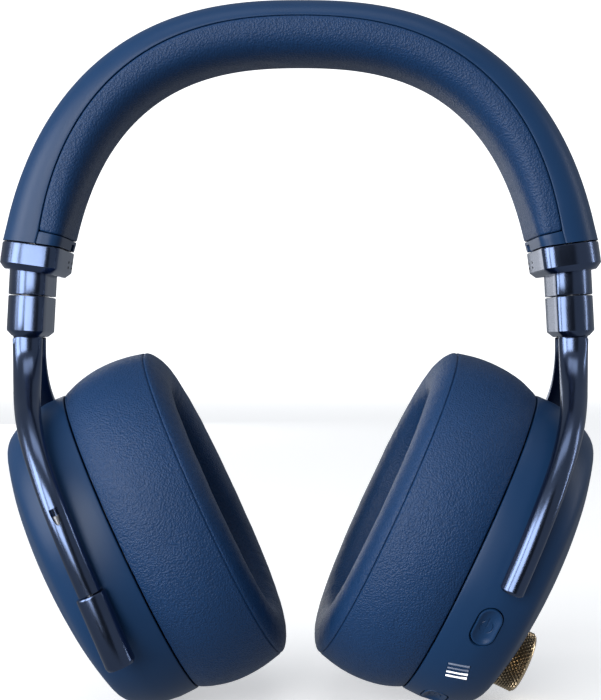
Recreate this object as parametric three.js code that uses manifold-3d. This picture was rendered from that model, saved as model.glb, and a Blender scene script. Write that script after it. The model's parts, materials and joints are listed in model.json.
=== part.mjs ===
// Over ear headphones: a padded headband on two sliding, swivelling forks that carry two oval ear cups.
// Millimetres, +Z up, -Y is the front. The origin is the middle of the pad under the crown of the band,
// where a head or a stand holds the headphones up.

import * as THREE from 'three';
import { mergeVertices } from 'three/addons/utils/BufferGeometryUtils.js';
import Module from 'manifold-3d';

const wasm = await Module();
wasm.setup();

// ---------------------------------------------------------------- driving dimensions

const GAP = 0.3;                    // clearance left between neighbouring pieces

// headband: the outer face follows a superellipse in the XZ plane
const BAND = {
  halfWidth: 87, height: 106.1, centreZ: -89.8, power: 2.48,
  endZ: -47.2,                      // height of the outer face where the band ends
  halfDepth: 15, crownThick: 16.3, endThick: 17.9,
  crownSeam: 6.6, endSeam: 11.4,    // depth of the shell's edge under its outer face
  flatHalf: 12, sections: 33,
};
const CHANNEL = { halfWidth: 11.8, roofHalf: 9, roof: 3.2, shoulder: 5.2 };
const SPRING = { halfWidth: 7, thick: 0.8, reach: 0.66 };
const LEAD = { radius: 0.9, y: 9.4, depth: 5.9, reach: 0.97 };

// collar and the fixed end of the arm, right side, given at mid depth
const COLLAR = { x: 76.0, topZ: -53.1, bottomZ: -60.7, tilt: 8, thick: 17.9, chamfer: 1.6 };
const SLIDER = { tilt: 8.5, halfThick: 1.2, halfWidth: 6.5, above: 41, below: -2 };
const GUIDE = { halfThick: 2.2, halfWidth: 8, low: 21, high: 31 };
const SLEEVE = {
  x: 77.3, z: -67.2, tilt: 3, thick: 11.2, halfDepth: 10.6,
  upperTop: 6.0, lowerBottom: -11.6, chamfer: 1.5,
};
const SWIVEL = {
  pinRadius: 2.2, headRadius: 3.8, headTop: -2.6, headLow: -4, ledge: -6.2, spigotRadius: 4.4,
  pinPlay: 0.15, spigotPlay: 0.25,
};
const OVAL_STEPS = 24;              // facets round an ear cup
const ROUND_STEPS = 12;             // facets round a small turned piece
const TOE_IN = 4.5;                 // the forks stand turned this far, front edges towards each other

// ear cup: local X points out from the head, local Z up along the cup
const CUP = { x: 47.9, z: -137.0, tilt: 25, halfHeight: 45.8, halfDepth: 41.2, power: 2.12, wall: 2.2 };
const PAD = { thick: 29.8, halfHeight: 49, holeHalfHeight: 31, holeHalfDepth: 23, wedge: 0.1 };
const BAFFLE = { front: 1.3, back: 3.5, hole: 19.3, play: 0.5 };
const RING = { front: -1, back: 0, inset: 0.9 };
const SCREEN = { front: 0.4, back: 1, inset: 0.4 };
const BOARD = { x: 13.9, thick: 1.4, halfHeight: 20, halfDepth: 16 };
const BATTERY = { x: 16.6, thick: 4.6, halfHeight: 14, halfDepth: 10 };
const PIVOT = { x: 11.7, z: 4.5, pinRadius: 2.3, bushRadius: 4, bushLength: 5, inner: 34.5 };
const FORK = { halfWidth: 3.15, topHalfWidth: 3.6, out: 2.8, inset: 1.6, legY: 42.9 };
const BOOM = {
  rodRadius: 0.85, rodTop: -5.6, rodLength: 21, offset: 0.7,
  capsuleTop: 1.6, capsuleLength: 20, tip: 1.4, scale: 1.28,
};

// controls on the right cup
const KNOB = { z: -25.4, radius: 9, face: 29.8, skirt: 20.6, shaft: 2.5, shaftEnd: 16 };
const BUTTON = { halfLength: 5.5, halfWidth: 3.25, thick: 2.6, proud: -0.15 };
const BUTTON_SPOTS = { power_button: [10.6, -107.5], mode_button: [8.4, -155] };
const LIGHTS = {
  x: 9.4, angle: -129.2, count: 4, pitch: 1.6, length: 5.7, width: 0.55, turn: 9,
  low: -3.2, baseLow: -4.2, baseTop: -2.9, baseHalf: 2.9,
};
const SOCKET = { x: 10.6, angle: 166, halfWidth: 4.5, halfHeight: 1.6, wall: 0.45, length: 7 };

const BLUE_PLASTIC = [0x1d3a68, 0.5, 0];
const BLUE_LEATHER = [0x1c3866, 0.62, 0];
const GUNMETAL = [0x4a566e, 0.28, 0.9];
const STEEL = [0x9a9fa6, 0.32, 1];
const BLACK_PLASTIC = [0x1b1c1f, 0.6, 0];
const CLOTH = [0x16233a, 0.95, 0];
const GOLD = [0xb08d57, 0.3, 1];
const COPPER_LEAD = [0x2a2b2e, 0.55, 0];
const GREEN_BOARD = [0x1f5a3c, 0.5, 0];
const FOIL = [0x9aa0a8, 0.45, 0.5];
const CLEAR = [0xe8ecf2, 0.2, 0];

// ---------------------------------------------------------------- tools for making solids

const DEG = Math.PI / 180;
const vec = (x, y, z) => new THREE.Vector3(x, y, z);
const mix = THREE.MathUtils.lerp;

function signedVolume(points, faces) {
  let sum = 0;
  const cross = vec(0, 0, 0);
  for (const [a, b, c] of faces) sum += cross.crossVectors(points[a], points[b]).dot(points[c]);
  return sum / 6;
}

function geometryFrom(points, faces) {
  const insideOut = signedVolume(points, faces) < 0;
  const geometry = new THREE.BufferGeometry().setFromPoints(points);
  geometry.setIndex(faces.flatMap(([a, b, c]) => (insideOut ? [a, c, b] : [a, b, c])));
  return geometry;
}

// Skin over a run of rings with equal point counts. An open run gets flat ends, a closed one joins up.
function loft(rings, { closed = false, outline = null } = {}) {
  const count = rings[0].length;
  const points = rings.flat();
  const faces = [];
  const last = closed ? rings.length : rings.length - 1;
  for (let i = 0; i < last; i++) {
    const a = i * count;
    const b = ((i + 1) % rings.length) * count;
    for (let j = 0; j < count; j++) {
      const k = (j + 1) % count;
      faces.push([a + j, a + k, b + k], [a + j, b + k, b + j]);
    }
  }
  if (!closed) {
    const flat = outline ?? Array.from({ length: count }, (_, j) => {
      const angle = 2 * Math.PI * j / count;
      return new THREE.Vector2(Math.cos(angle), Math.sin(angle));
    });
    const base = (rings.length - 1) * count;
    for (const cap of THREE.ShapeUtils.triangulateShape(flat, [])) {
      const [a, b, c] = THREE.ShapeUtils.isClockWise(flat) ? [cap[0], cap[2], cap[1]] : cap;
      faces.push([a, c, b], [base + a, base + b, base + c]);
    }
  }
  return geometryFrom(points, faces);
}

function solid(geometry) {
  const bare = geometry.clone();
  bare.deleteAttribute('normal');
  bare.deleteAttribute('uv');
  const merged = mergeVertices(bare, 1e-4);
  return new wasm.Manifold(new wasm.Mesh({
    numProp: 3,
    vertProperties: new Float32Array(merged.attributes.position.array),
    triVerts: new Uint32Array(merged.index.array),
  }));
}

function geometryOf(manifold) {
  const mesh = manifold.getMesh();
  const geometry = new THREE.BufferGeometry();
  geometry.setAttribute('position', new THREE.BufferAttribute(new Float32Array(mesh.vertProperties), 3));
  geometry.setIndex(Array.from(mesh.triVerts));
  return geometry;
}

function cut(geometry, ...tools) {
  return geometryOf(tools.reduce((body, tool) => body.subtract(solid(tool)), solid(geometry)));
}

function join(...geometries) {
  return geometryOf(geometries.map(solid).reduce((a, b) => a.add(b)));
}

function block(xs, ys, zs) {
  const box = new THREE.BoxGeometry(xs[1] - xs[0], ys[1] - ys[0], zs[1] - zs[0]);
  return box.translate((xs[0] + xs[1]) / 2, (ys[0] + ys[1]) / 2, (zs[0] + zs[1]) / 2);
}

// Solid of revolution about local Z through [radius, z] points; a profile off the axis closes on itself.
function turned(profile, segments = ROUND_STEPS) {
  const points = profile.map(([r, z]) => new THREE.Vector2(r, z));
  if (profile[0][0] > 0) points.push(points[0].clone());
  const geometry = new THREE.LatheGeometry(points, segments).rotateX(Math.PI / 2);
  geometry.deleteAttribute('normal');
  geometry.deleteAttribute('uv');
  const merged = mergeVertices(geometry, 1e-4);
  const faces = [];
  for (let i = 0; i < merged.index.count; i += 3) {
    const face = [0, 1, 2].map((k) => merged.index.getX(i + k));
    if (new Set(face).size === 3) faces.push(face);
  }
  const places = Array.from({ length: merged.attributes.position.count },
    (_, i) => new THREE.Vector3().fromBufferAttribute(merged.attributes.position, i));
  return geometryFrom(places, faces);
}

function rod(radius, low, high, segments = ROUND_STEPS) {
  return turned([[0, low], [radius, low], [radius, high], [0, high]], segments);
}

// Prism along local Z with a stadium outline, long side on local Y.
function stadium(halfLength, halfWidth, low, high, steps = 6) {
  const ring = (z) => {
    const points = [];
    for (const end of [1, -1]) {
      for (let i = 0; i <= steps; i++) {
        const angle = Math.PI * i / steps - (end < 0 ? Math.PI : 0);
        const x = halfWidth * Math.cos(angle);
        points.push(vec(x, end * (halfLength - halfWidth) + halfWidth * Math.sin(angle), z));
      }
    }
    return points;
  };
  return loft([ring(low), ring(high)]);
}

function piece(name, geometry, [color, roughness, metalness]) {
  const mesh = new THREE.Mesh(geometry, new THREE.MeshStandardMaterial({ color, roughness, metalness }));
  mesh.name = name;
  return mesh;
}

function place(object, position, { tiltY = 0, turnZ = 0 } = {}) {
  object.position.copy(position);
  object.rotation.set(0, tiltY * DEG, turnZ * DEG, 'ZYX');
  return object;
}

// ---------------------------------------------------------------- headband

class OuterArc extends THREE.Curve {
  getPoint(t, target = vec(0, 0, 0)) {
    const { halfWidth, height, centreZ, power, endZ } = BAND;
    const endAngle = Math.acos(((endZ - centreZ) / height) ** (power / 2));
    const angle = mix(-endAngle, endAngle, t);
    const x = Math.sign(angle) * halfWidth * Math.abs(Math.sin(angle)) ** (2 / power);
    return target.set(x, 0, centreZ + height * Math.cos(angle) ** (2 / power));
  }
}

const outerArc = new OuterArc();
outerArc.arcLengthDivisions = 2000;

// Place on the band: u runs from the left end (0) to the right end (1), y is across, depth is inwards.
function bandPoint(u, y, depth) {
  const tangent = outerArc.getTangentAt(u);
  const inward = vec(tangent.z, 0, -tangent.x);
  return outerArc.getPointAt(u).addScaledVector(inward, depth).setY(y);
}

const towardsEnd = (u) => Math.abs(2 * u - 1);
const thickAt = (u) => mix(BAND.crownThick, BAND.endThick, towardsEnd(u) ** 1.5);
const seamAt = (u) => mix(BAND.crownSeam, BAND.endSeam, towardsEnd(u) ** 1.5);

// Half width of the rounded outer face at a depth below its crest.
function domeWidth(depth, rise, halfDepth) {
  const lift = Math.max(0, 1 - depth / rise);
  return halfDepth * (1 - lift ** 2.4) ** (1 / 2.4);
}

const mirrored = (half) => [...half, ...half.map(([y, d]) => [-y, d]).reverse().filter(([y]) => y !== 0)];

function domeHalf(thick, halfDepth, stops, limit) {
  const rise = thick - 7;
  return stops.map((s) => [domeWidth(s * limit, rise, halfDepth), s * limit]);
}

// Rounded D outline, crest first: flat on the head side, rounded on the outer side.
function bandOutline(thick, halfDepth, flatHalf) {
  const dome = domeHalf(thick, halfDepth, [0.01, 0.06, 0.16, 0.32, 0.55, 1], thick - 7);
  const edge = [[halfDepth, thick - 3.4], [mix(flatHalf, halfDepth, 0.55), thick - 0.9], [flatHalf, thick]];
  return mirrored([[0, 0], ...dome, ...edge]);
}

function sweepBand(outlineAt, from = 0, to = 1, sections = BAND.sections) {
  const rings = [];
  for (let i = 0; i <= sections; i++) {
    const u = mix(from, to, i / sections);
    rings.push(outlineAt(u).map(([y, depth]) => bandPoint(u, y, depth)));
  }
  return loft(rings, { outline: outlineAt(0.5).map(([y, depth]) => new THREE.Vector2(y, depth)) });
}

function shellOutline(u) {
  const seam = seamAt(u);
  const dome = domeHalf(thickAt(u), BAND.halfDepth, [0.02, 0.1, 0.25, 0.5, 1], seam);
  const { halfWidth, roofHalf, roof, shoulder } = CHANNEL;
  return mirrored([[0, 0], ...dome, [halfWidth, seam], [halfWidth, shoulder], [roofHalf, roof]]);
}

function cushionOutline(u) {
  const { halfDepth, flatHalf } = BAND;
  const top = seamAt(u) + GAP;
  const thick = thickAt(u);
  const half = [[halfDepth - 0.5, top], [halfDepth, top + 1.6], [halfDepth, thick - 3.6],
    [mix(flatHalf, halfDepth, 0.55), thick - 0.9], [flatHalf, thick]];
  return mirrored(half);
}

function springOutline() {
  const { halfWidth, thick } = SPRING;
  const top = CHANNEL.roof + GAP;
  return mirrored([[halfWidth, top], [halfWidth, top + thick]]);
}

function leadOutline() {
  return Array.from({ length: 6 }, (_, i) => {
    const angle = 2 * Math.PI * i / 6;
    return [LEAD.y + LEAD.radius * Math.cos(angle), LEAD.depth + LEAD.radius * Math.sin(angle)];
  });
}

function headband() {
  const group = new THREE.Group();
  const inset = (reach) => [(1 - reach) / 2, (1 + reach) / 2];
  group.add(
    piece('headband_shell', sweepBand(shellOutline), BLUE_PLASTIC),
    piece('headband_cushion', sweepBand(cushionOutline), BLUE_LEATHER),
    piece('spring_band', sweepBand(springOutline, ...inset(SPRING.reach), 31), STEEL),
    piece('headband_lead', sweepBand(leadOutline, ...inset(LEAD.reach), 35), COPPER_LEAD),
  );
  return group;
}

// ---------------------------------------------------------------- band ends, collars and sliders

// Outline laid square to a local Z axis, crest at +X.
const laid = (outline, thick, z) => outline.map(([y, depth]) => vec(thick / 2 - depth, y, z));

const sliderSlot = () => block([-SLIDER.halfThick - GAP, SLIDER.halfThick + GAP],
  [-SLIDER.halfWidth - GAP, SLIDER.halfWidth + GAP], [-60, 60]);

// Tool or piece that follows the slider's own line through the sleeves, in the side's frame.
function alongSlider(geometry) {
  return geometry.rotateY(-SLIDER.tilt * DEG).translate(SLEEVE.x, 0, SLEEVE.z);
}

function collarAxis(geometry) {
  return geometry.rotateY(-COLLAR.tilt * DEG).translate(COLLAR.x, 0, (COLLAR.topZ + COLLAR.bottomZ) / 2);
}

function endCap() {
  const outline = bandOutline(BAND.endThick, BAND.halfDepth, BAND.flatHalf);
  const tangent = outerArc.getTangentAt(1);
  const top = outline.map(([y, depth]) => bandPoint(1, y, depth).addScaledVector(tangent, GAP));
  const height = (COLLAR.topZ - COLLAR.bottomZ) / 2 + GAP;
  const lower = loft([laid(outline, BAND.endThick, height), laid(outline, BAND.endThick, height + 1)]);
  const seat = collarAxis(lower).attributes.position;
  const bottom = outline.map((_, i) => new THREE.Vector3().fromBufferAttribute(seat, i));
  return cut(loft([top, bottom]), alongSlider(sliderSlot()));
}

function collar() {
  const { thick, chamfer, topZ, bottomZ } = COLLAR;
  const half = (topZ - bottomZ) / 2;
  const outline = bandOutline(thick, BAND.halfDepth, BAND.flatHalf);
  const shrink = 1 - chamfer * 2 / thick;
  const narrow = 1 - chamfer / BAND.halfDepth;
  const lip = laid(outline, thick, -half).map((p) => vec(p.x * shrink, p.y * narrow, p.z));
  const body = loft([laid(outline, thick, half), laid(outline, thick, -half + chamfer), lip]);
  return cut(collarAxis(body), alongSlider(sliderSlot()));
}

function sliderGuide() {
  const { halfThick, halfWidth, low, high } = GUIDE;
  const body = block([-halfThick, halfThick], [-halfWidth, halfWidth], [low, high]);
  return cut(alongSlider(body), alongSlider(sliderSlot()));
}

function sliderBlade() {
  const { halfThick, halfWidth, above, below } = SLIDER;
  return alongSlider(block([-halfThick, halfThick], [-halfWidth, halfWidth], [below, above]));
}

// ---------------------------------------------------------------- sleeves and swivel, in the swivel's frame

function sleeve(low, high, chamferLow, flipTop = 0) {
  const { thick, halfDepth, chamfer } = SLEEVE;
  const outline = bandOutline(thick, halfDepth, halfDepth - 1.6);
  const rings = [laid(outline, thick, high).map((p) => vec(p.x, p.y, p.z + flipTop * p.x))];
  if (chamferLow) {
    const shrink = 1 - chamfer * 2 / thick;
    rings.push(laid(outline, thick, low + chamfer));
    rings.push(laid(outline, thick, low).map((p) => vec(p.x * shrink, p.y * (1 - chamfer / halfDepth), p.z)));
  } else {
    rings.push(laid(outline, thick, low));
  }
  return loft(rings);
}

function upperSleeve() {
  const body = sleeve(GAP, SLEEVE.upperTop, false, Math.tan((COLLAR.tilt - SLEEVE.tilt) * DEG));
  return cut(inSwivel(body), alongSlider(sliderSlot()));
}

// Headed pin that holds the fork up in the lower sleeve and lets it turn.
function swivelPin() {
  const { pinRadius, headRadius, headTop, headLow, ledge } = SWIVEL;
  return turned([[0, ledge + GAP], [pinRadius, ledge + GAP], [pinRadius, headLow + 0.1],
    [headRadius, headLow + 0.1], [headRadius, headTop], [0, headTop]]);
}

function lowerSleeve() {
  const { pinRadius, headRadius, headLow, ledge, spigotRadius } = SWIVEL;
  const bottom = SLEEVE.lowerBottom;
  const bores = [rod(pinRadius + SWIVEL.pinPlay, ledge - 1, 1), rod(headRadius + GAP, headLow, 2),
    rod(spigotRadius + SWIVEL.spigotPlay, bottom - 1, ledge)];
  const footSlot = block([-SLIDER.halfThick - GAP, SLIDER.halfThick + GAP],
    [-SLIDER.halfWidth - GAP, SLIDER.halfWidth + GAP], [SLIDER.below - GAP, 2]);
  return cut(inSwivel(sleeve(bottom, -GAP, true)), ...bores.map(inSwivel), alongSlider(footSlot));
}

// ---------------------------------------------------------------- fork

// Centre line of one leg in the side's frame: down from the sleeve, out round the cup, down its side.
function legLine(sign) {
  const stops = [
    [77.4, 5.0, -79.6], [77.3, 5.6, -85.0], [76.9, 10.4, -91.0], [76.0, 19.0, -96.9], [74.5, 27.0, -102.6],
    [72.0, 34.0, -109.6], [68.6, 39.2, -118.0], [64.9, 42.0, -126.8], [61.2, FORK.legY, -135.7],
    [57.7, FORK.legY, -143.9],
  ];
  return new THREE.CatmullRomCurve3(stops.map(([x, y, z]) => vec(x, sign * y, z)));
}

// Half round section: flat towards the cup, round outwards.
function legRing(at, tangent, sign, halfWidth, scale = 1) {
  const out = vec(0, sign, 0).addScaledVector(tangent, -sign * tangent.y).normalize();
  const side = new THREE.Vector3().crossVectors(tangent, out);
  const ring = [];
  const steps = 6;
  for (let i = 0; i <= steps; i++) {
    const angle = Math.PI * i / steps;
    const rise = mix(-FORK.inset * 0.35, FORK.out, Math.sin(angle) ** 0.85) * scale;
    const across = halfWidth * scale * Math.cos(angle);
    ring.push(at.clone().addScaledVector(side, across).addScaledVector(out, rise));
  }
  for (const s of [-0.82, 0.82]) {
    const across = s * halfWidth * scale;
    ring.push(at.clone().addScaledVector(side, across).addScaledVector(out, -FORK.inset * scale));
  }
  return ring;
}

function leg(sign) {
  const line = legLine(sign);
  const rings = [];
  const steps = 16;
  for (let i = 0; i <= steps; i++) {
    const u = i / steps;
    const halfWidth = mix(FORK.topHalfWidth, FORK.halfWidth, Math.min(1, u * 2.5));
    rings.push(legRing(line.getPointAt(u), line.getTangentAt(u), sign, halfWidth));
  }
  const end = rings.at(-1);
  const tangent = line.getTangentAt(1);
  const middle = line.getPointAt(1);
  rings.push(end.map((p) => p.clone().lerp(middle, 0.22).addScaledVector(tangent, 0.9)));
  return loft(rings);
}

const boomAxis = () => {
  const line = legLine(1);
  return { end: line.getPointAt(1), down: line.getTangentAt(1) };
};

// Turn a solid made along local -Z so that it runs down from the end of the left leg.
function downLeg(geometry) {
  const { end, down } = boomAxis();
  const turn = new THREE.Quaternion().setFromUnitVectors(vec(0, 0, -1), down);
  const start = end.clone().add(vec(0, BOOM.offset, 0));
  return geometry.applyQuaternion(turn).translate(start.x, start.y, start.z);
}

function fork(withBoom) {
  const { spigotRadius, ledge } = SWIVEL;
  const spigot = inSwivel(rod(spigotRadius, SLEEVE.lowerBottom - 1.5, ledge - GAP));
  const crown = inSwivel(block([-3.3, 3.3], [-7, 7], [SLEEVE.lowerBottom - 2.6, SLEEVE.lowerBottom - GAP]));
  const body = join(crown, spigot, leg(1), leg(-1));
  return withBoom ? cut(body, downLeg(rod(BOOM.rodRadius + GAP, -3, BOOM.rodLength + 2))) : body;
}

function inSwivel(geometry) {
  return geometry.rotateY(-SLEEVE.tilt * DEG).translate(SLEEVE.x, 0, SLEEVE.z);
}

function boomCapsule() {
  const { end, down } = boomAxis();
  const { capsuleTop, capsuleLength, tip, scale, rodRadius, rodTop } = BOOM;
  const stops = [[capsuleTop, 0.94], [capsuleTop + 0.6, 1], [capsuleLength, 1], [capsuleLength + tip, 0.8]];
  const rings = stops.map(([t, grow]) => (
    legRing(end.clone().addScaledVector(down, t), down, 1, FORK.halfWidth, scale * grow)));
  return cut(loft(rings), downLeg(rod(rodRadius + GAP, rodTop, 0)));
}

const boomRod = () => downLeg(rod(BOOM.rodRadius, BOOM.rodTop, BOOM.rodLength));

// ---------------------------------------------------------------- ear cup, in the cup's frame

const squared = (c) => Math.sign(c) * Math.abs(c) ** (2 / CUP.power);

// Point on an oval round the cup's axis; angle 0 is the top and -90 degrees the front.
function ovalPoint(x, halfHeight, halfDepth, angle) {
  return vec(x, halfDepth * squared(Math.sin(angle)), halfHeight * squared(Math.cos(angle)));
}

function ovalRing(x, halfHeight, halfDepth, count = OVAL_STEPS) {
  const angles = Array.from({ length: count }, (_, i) => 2 * Math.PI * i / count);
  return angles.map((angle) => ovalPoint(x, halfHeight, halfDepth, angle));
}

// Outer profile of the housing, rim to crown: [distance out, half height].
const HOUSING_PROFILE = [
  [0.3, 45.7], [6, 45.8], [11, 45], [15.5, 43.2], [18.8, 41.2], [20.3, 39.4], [21.1, 37.4],
  [23.6, 28.5], [25.6, 16], [26.5, 3],
];
const depthFor = (halfHeight) => halfHeight - (CUP.halfHeight - CUP.halfDepth) * Math.min(1, halfHeight / 25);

function housing() {
  const inner = HOUSING_PROFILE.map(([x, h]) => {
    const slope = THREE.MathUtils.smoothstep(x, 18, 25);
    return [x - CUP.wall * slope, Math.max(2, h - CUP.wall * (1 - slope * 0.9))];
  });
  inner[0][0] = 0.3;
  const profile = [...[...HOUSING_PROFILE].reverse(), ...inner];
  return loft(profile.map(([x, h]) => ovalRing(x, h, depthFor(h))));
}

// Place and outward direction on the housing's side at an angle round the cup.
function wallSpot(x, degrees) {
  const profile = (at) => {
    const i = HOUSING_PROFILE.findIndex(([stop]) => stop > at);
    const [[x0, h0], [x1, h1]] = [HOUSING_PROFILE[i - 1], HOUSING_PROFILE[i]];
    return mix(h0, h1, (at - x0) / (x1 - x0));
  };
  const at = (px, angle) => ovalPoint(px, profile(px), depthFor(profile(px)), angle);
  const angle = degrees * DEG;
  const here = at(x, angle);
  const along = at(x, angle + 0.01).sub(at(x, angle - 0.01));
  const across = at(x + 0.5, angle).sub(at(x - 0.5, angle));
  const normal = new THREE.Vector3().crossVectors(across, along).normalize();
  if (normal.dot(here) < 0) normal.negate();
  return { here, normal, along: along.normalize() };
}

// Turn a solid made on local Z so that Z is the wall's outward direction and Y runs round the cup.
function onWall(geometry, x, degrees, spin = 0) {
  const { here, normal, along } = wallSpot(x, degrees);
  const side = new THREE.Vector3().crossVectors(along, normal).normalize();
  const turn = new THREE.Matrix4().makeBasis(side, along, normal);
  return geometry.rotateZ(spin * DEG).applyMatrix4(turn).translate(here.x, here.y, here.z);
}

// Tools and pieces turned about a local Y line through the pivot, sign 1 to the back, -1 to the front.
function onPivot(geometry, sign) {
  return geometry.rotateX(-sign * Math.PI / 2).translate(PIVOT.x, 0, PIVOT.z);
}

const pivotHole = (sign) => onPivot(rod(PIVOT.bushRadius + GAP, 30, 46), sign);

function pivotBush(sign) {
  const { pinRadius, bushRadius, inner } = PIVOT;
  const bore = pinRadius + 0.1;
  const outer = inner + PIVOT.bushLength;
  return onPivot(turned([[bore, inner], [bushRadius, inner], [bushRadius, outer], [bore, outer]]), sign);
}

function pivotPin(sign) {
  const { pinRadius, inner } = PIVOT;
  const top = FORK.legY - FORK.inset - GAP;
  return onPivot(turned([[0, inner - 1], [pinRadius, inner - 1], [pinRadius, top], [0, top]]), sign);
}

function buttonSolid([x, angle], grow) {
  const { halfLength, halfWidth, thick, proud } = BUTTON;
  const low = grow ? -thick - 4 : -thick;
  return onWall(stadium(halfLength + grow, halfWidth + grow, low, proud + grow * 12), x, angle);
}

function lightBars(grow) {
  const { count, pitch, length, width, turn, low, x, angle } = LIGHTS;
  return Array.from({ length: count }, (_, i) => {
    const y = (i - (count - 1) / 2) * pitch;
    const half = width / 2 + grow;
    const bar = block([-length / 2 - grow, length / 2 + grow], [y - half, y + half], [low, grow ? 3 : -0.1]);
    return onWall(bar, x, angle, turn);
  });
}

function lightGuide() {
  const { length, baseLow, baseTop, baseHalf, x, angle, turn } = LIGHTS;
  const half = length / 2 + 0.6;
  const base = block([-half, half], [-baseHalf, baseHalf], [baseLow, baseTop]);
  return join(onWall(base, x, angle, turn), ...lightBars(0));
}

function socketShell() {
  const { halfWidth, halfHeight, wall, length, x, angle } = SOCKET;
  const body = stadium(halfWidth, halfHeight, -length, -0.4);
  const hollow = stadium(halfWidth - wall, halfHeight - wall, -length + 1, 2);
  return onWall(cut(body, hollow), x, angle);
}

const socketHole = () => onWall(stadium(SOCKET.halfWidth + GAP, SOCKET.halfHeight + GAP, -9, 4),
  SOCKET.x, SOCKET.angle);

const onKnobAxis = (geometry) => geometry.rotateY(Math.PI / 2).translate(0, 0, KNOB.z);

function volumeKnob() {
  const { radius, face, skirt, shaft, shaftEnd } = KNOB;
  return onKnobAxis(turned([[0, shaftEnd], [shaft, shaftEnd], [shaft, skirt], [radius - 0.5, skirt],
    [radius, skirt + 0.5], [radius, face - 0.6], [radius - 0.6, face], [0, face]], 28));
}

function knobEncoder() {
  const { shaft } = KNOB;
  return onKnobAxis(turned([[shaft + 0.1, 17], [6.4, 17], [6.4, 20], [shaft + 0.1, 20]]));
}

const discFront = (profile, segments) => turned(profile, segments).rotateY(Math.PI / 2);

function baffle() {
  const { front, back, hole, play } = BAFFLE;
  const shrink = CUP.wall + play;
  const ring = (x) => ovalRing(x, CUP.halfHeight - shrink, CUP.halfDepth - shrink);
  const bore = (x) => Array.from({ length: OVAL_STEPS }, (_, i) => {
    const angle = 2 * Math.PI * i / OVAL_STEPS;
    return vec(x, hole * Math.sin(angle), hole * Math.cos(angle));
  });
  return loft([ring(front), ring(back), bore(back), bore(front)], { closed: true });
}

function driverBasket() {
  return discFront([[17.2, 1.7], [18.9, 1.7], [18.9, 3.9], [22, 3.9], [22, 5.2], [18.4, 5.2], [15.5, 10.6],
    [9.2, 10.6], [9.2, 9.4], [14.6, 9.4], [17.2, 5]], 18);
}

function driverMagnet() {
  return discFront([[0, 6.6], [8.8, 6.6], [8.8, 11], [12.5, 11], [12.5, 13.1], [0, 13.1]], 18);
}

function diaphragm() {
  return discFront([[0, 1.9], [5, 2.3], [9, 3.5], [12.5, 2.5], [16.6, 2.8], [16.6, 3.3], [12.5, 3], [9, 4],
    [5, 2.8], [0, 2.4]], 16);
}

function padRing() {
  const { front, back, inset } = RING;
  const outer = [CUP.halfHeight - inset, CUP.halfDepth - inset];
  const inner = [PAD.holeHalfHeight, PAD.holeHalfDepth];
  const rings = [ovalRing(front, ...outer), ovalRing(back, ...outer), ovalRing(back, ...inner),
    ovalRing(front, ...inner)];
  return loft(rings, { closed: true });
}

function speakerCloth() {
  const { front, back, inset } = SCREEN;
  const ring = (x) => ovalRing(x, PAD.holeHalfHeight - inset, PAD.holeHalfDepth - inset);
  return loft([ring(front), ring(back)]);
}

// Cushion section: [distance out, half height]; the hole is the last stretch. The back is the thicker side.
function earPad(back) {
  const { thick, halfHeight, holeHalfHeight, holeHalfDepth, wedge } = PAD;
  const outer = [[-1.3, 44.9], [-4.5, 47.4], [-12, halfHeight], [-22, 48.6], [-27, 46], [-29.4, 42],
    [-thick, 39]];
  const rings = outer.map(([x, h]) => ovalRing(x, h, h - (CUP.halfHeight - CUP.halfDepth)));
  const inner = [[-thick, 36], [-28, 33.2], [-24, 31.8], [-1.3, holeHalfHeight]];
  for (const [x, h] of inner) rings.push(ovalRing(x, h, h - holeHalfHeight + holeHalfDepth));
  for (const point of rings.flat()) point.x *= 1 + back * wedge * point.y / CUP.halfDepth;
  return loft(rings, { closed: true });
}

function circuitBoard() {
  const { x, thick, halfHeight, halfDepth } = BOARD;
  return loft([x, x + thick].map((at) => ovalRing(at, halfHeight, halfDepth, 16)));
}

function battery() {
  const { x, thick, halfHeight, halfDepth } = BATTERY;
  return block([x, x + thick], [-halfDepth, halfDepth], [-halfHeight, halfHeight]);
}

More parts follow.
